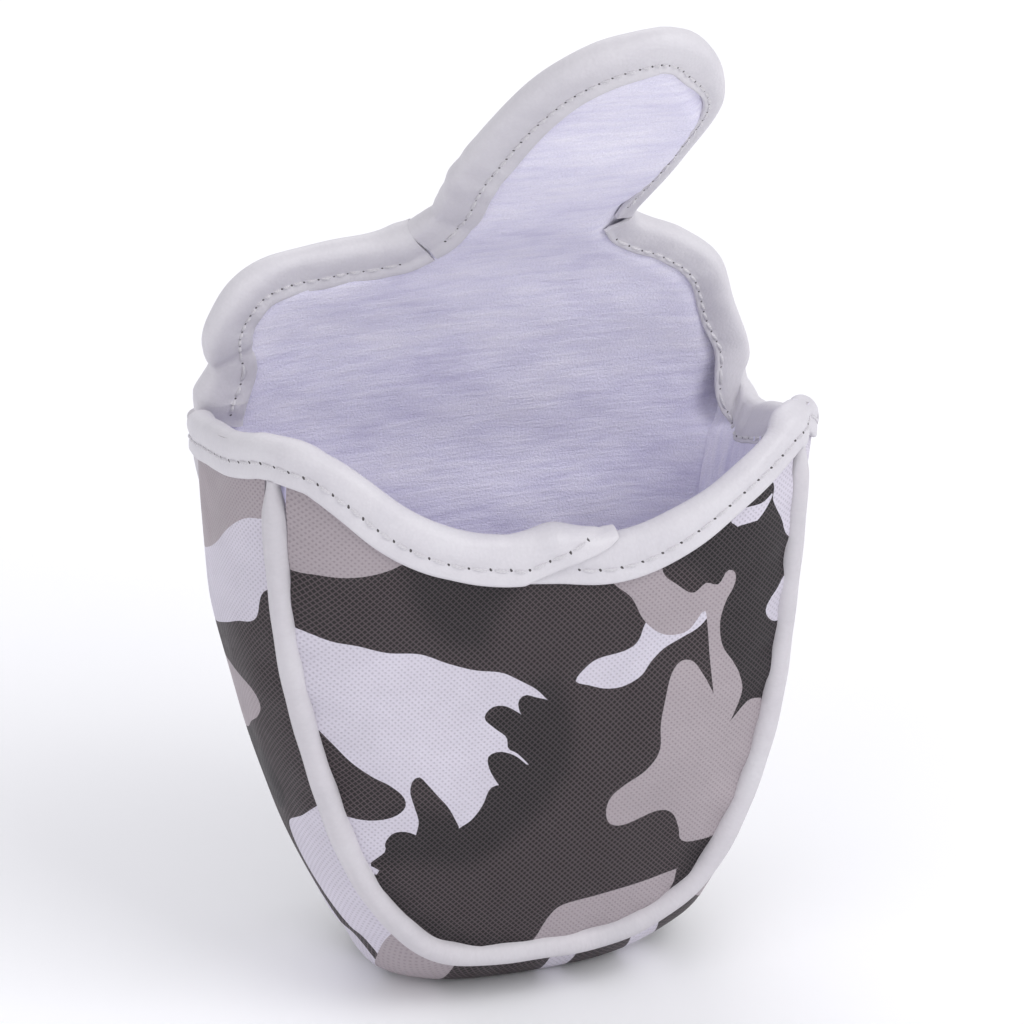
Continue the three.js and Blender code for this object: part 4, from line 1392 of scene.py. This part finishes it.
flap_strip("right_shoulder_strip", right_shoulder_edge(), -1, bend_at_fold, ["right_flap_binding"],
           narrow_reach, steady(NARROW_MARGIN), right_shoulder_lift, 4.0)

tongue_edge = np.vstack([left_rows[ROOT_ROW * ROW_STEPS:],
                         right_rows[ROOT_ROW * ROW_STEPS:-1][::-1]])
TIP_RUN = run_along(left_rows[ROOT_ROW * ROW_STEPS:])[-1]


def tongue_reach(side, at):
    """Wide up the left edge, narrower round the tip, narrowest down the right edge."""
    past_tip = lerp(reach_of(side, FLAP_LEG), reach_of(side, 7.0), ramp(at, TIP_RUN - 10, TIP_RUN + 10))
    return lerp(past_tip, reach_of(side, 3.4), ramp(at, TIP_RUN + 12, TIP_RUN + 34))


def tongue_margin(at):
    near_tip = lerp(WIDE_MARGIN, 2.0, ramp(at, TIP_RUN - 10, TIP_RUN + 10))
    return lerp(near_tip, 1.0, ramp(at, TIP_RUN + 12, TIP_RUN + 34))


def tongue_lift(at, q):
    """A pleat at the tongue's root, then small gathers."""
    root_pleat = ridges(at, q, (2, 2.5, 0.3, 0), (7.5, 1.6, -0.5, 0))
    return root_pleat + gathers(at, 0.18, 1.5) * ramp(at, 12, 16) * (1 - ramp(at, 24, 34))


flap_strip("tongue_strip", flap_edge(tongue_edge), 1, bend_at_tip,
           ["left_flap_binding", "flap_tip_binding"], tongue_reach, tongue_margin, tongue_lift, 5.0)

for name in ("front_magnet", "flap_magnet"):
    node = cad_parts[name]
    node.data.materials.clear()
    node.data.materials.append(MAGNET_LOOK)


# ---- Floor, camera and light ----

def add_floor():
    floor = new_mesh("floor", [(-5000, -5000, -0.3), (5000, -5000, -0.3), (5000, 5000, -0.3),
                               (-5000, 5000, -0.3)], [(0, 1, 2, 3)], None)
    floor.data.materials.append(floor_material())


def add_camera():
    azimuth, elevation, distance = math.radians(-17), math.radians(25), 0.9
    target = Vector((3.2, 3.8, 106.7)) * MM
    back = Vector((math.sin(azimuth) * math.cos(elevation),
                   -math.cos(azimuth) * math.cos(elevation), math.sin(elevation)))
    data = bpy.data.cameras.new("camera")
    data.sensor_width = 36
    data.lens = 142.4
    data.clip_start = 0.05
    camera = bpy.data.objects.new("camera", data)
    camera.location = target + back * distance
    camera.rotation_euler = back.to_track_quat("Z", "Y").to_euler()
    bpy.context.scene.collection.objects.link(camera)
    bpy.context.scene.camera = camera


def area_light(name, place, size, power):
    data = bpy.data.lights.new(name, "AREA")
    data.shape = "SQUARE"
    data.size = size
    data.energy = power
    lamp = bpy.data.objects.new(name, data)
    lamp.location = place
    aim = Vector(place) - Vector((0, 0, 0.1))
    lamp.rotation_euler = aim.to_track_quat("Z", "Y").to_euler()
    bpy.context.scene.collection.objects.link(lamp)


def add_light():
    world = bpy.data.worlds.new("studio")
    world.use_nodes = True
    world.node_tree.nodes["Background"].inputs["Color"].default_value = (0.95, 0.95, 0.99, 1.0)
    world.node_tree.nodes["Background"].inputs["Strength"].default_value = 0.68
    bpy.context.scene.world = world
    area_light("key", (0.9, -1.1, 1.5), 1.2, 17)
    area_light("fill", (-1.3, -0.9, 0.9), 1.4, 4)
    area_light("rim", (0.2, 1.4, 1.3), 1.2, 8)


add_floor()
add_camera()
add_light()
bpy.context.scene.view_settings.view_transform = "Standard"
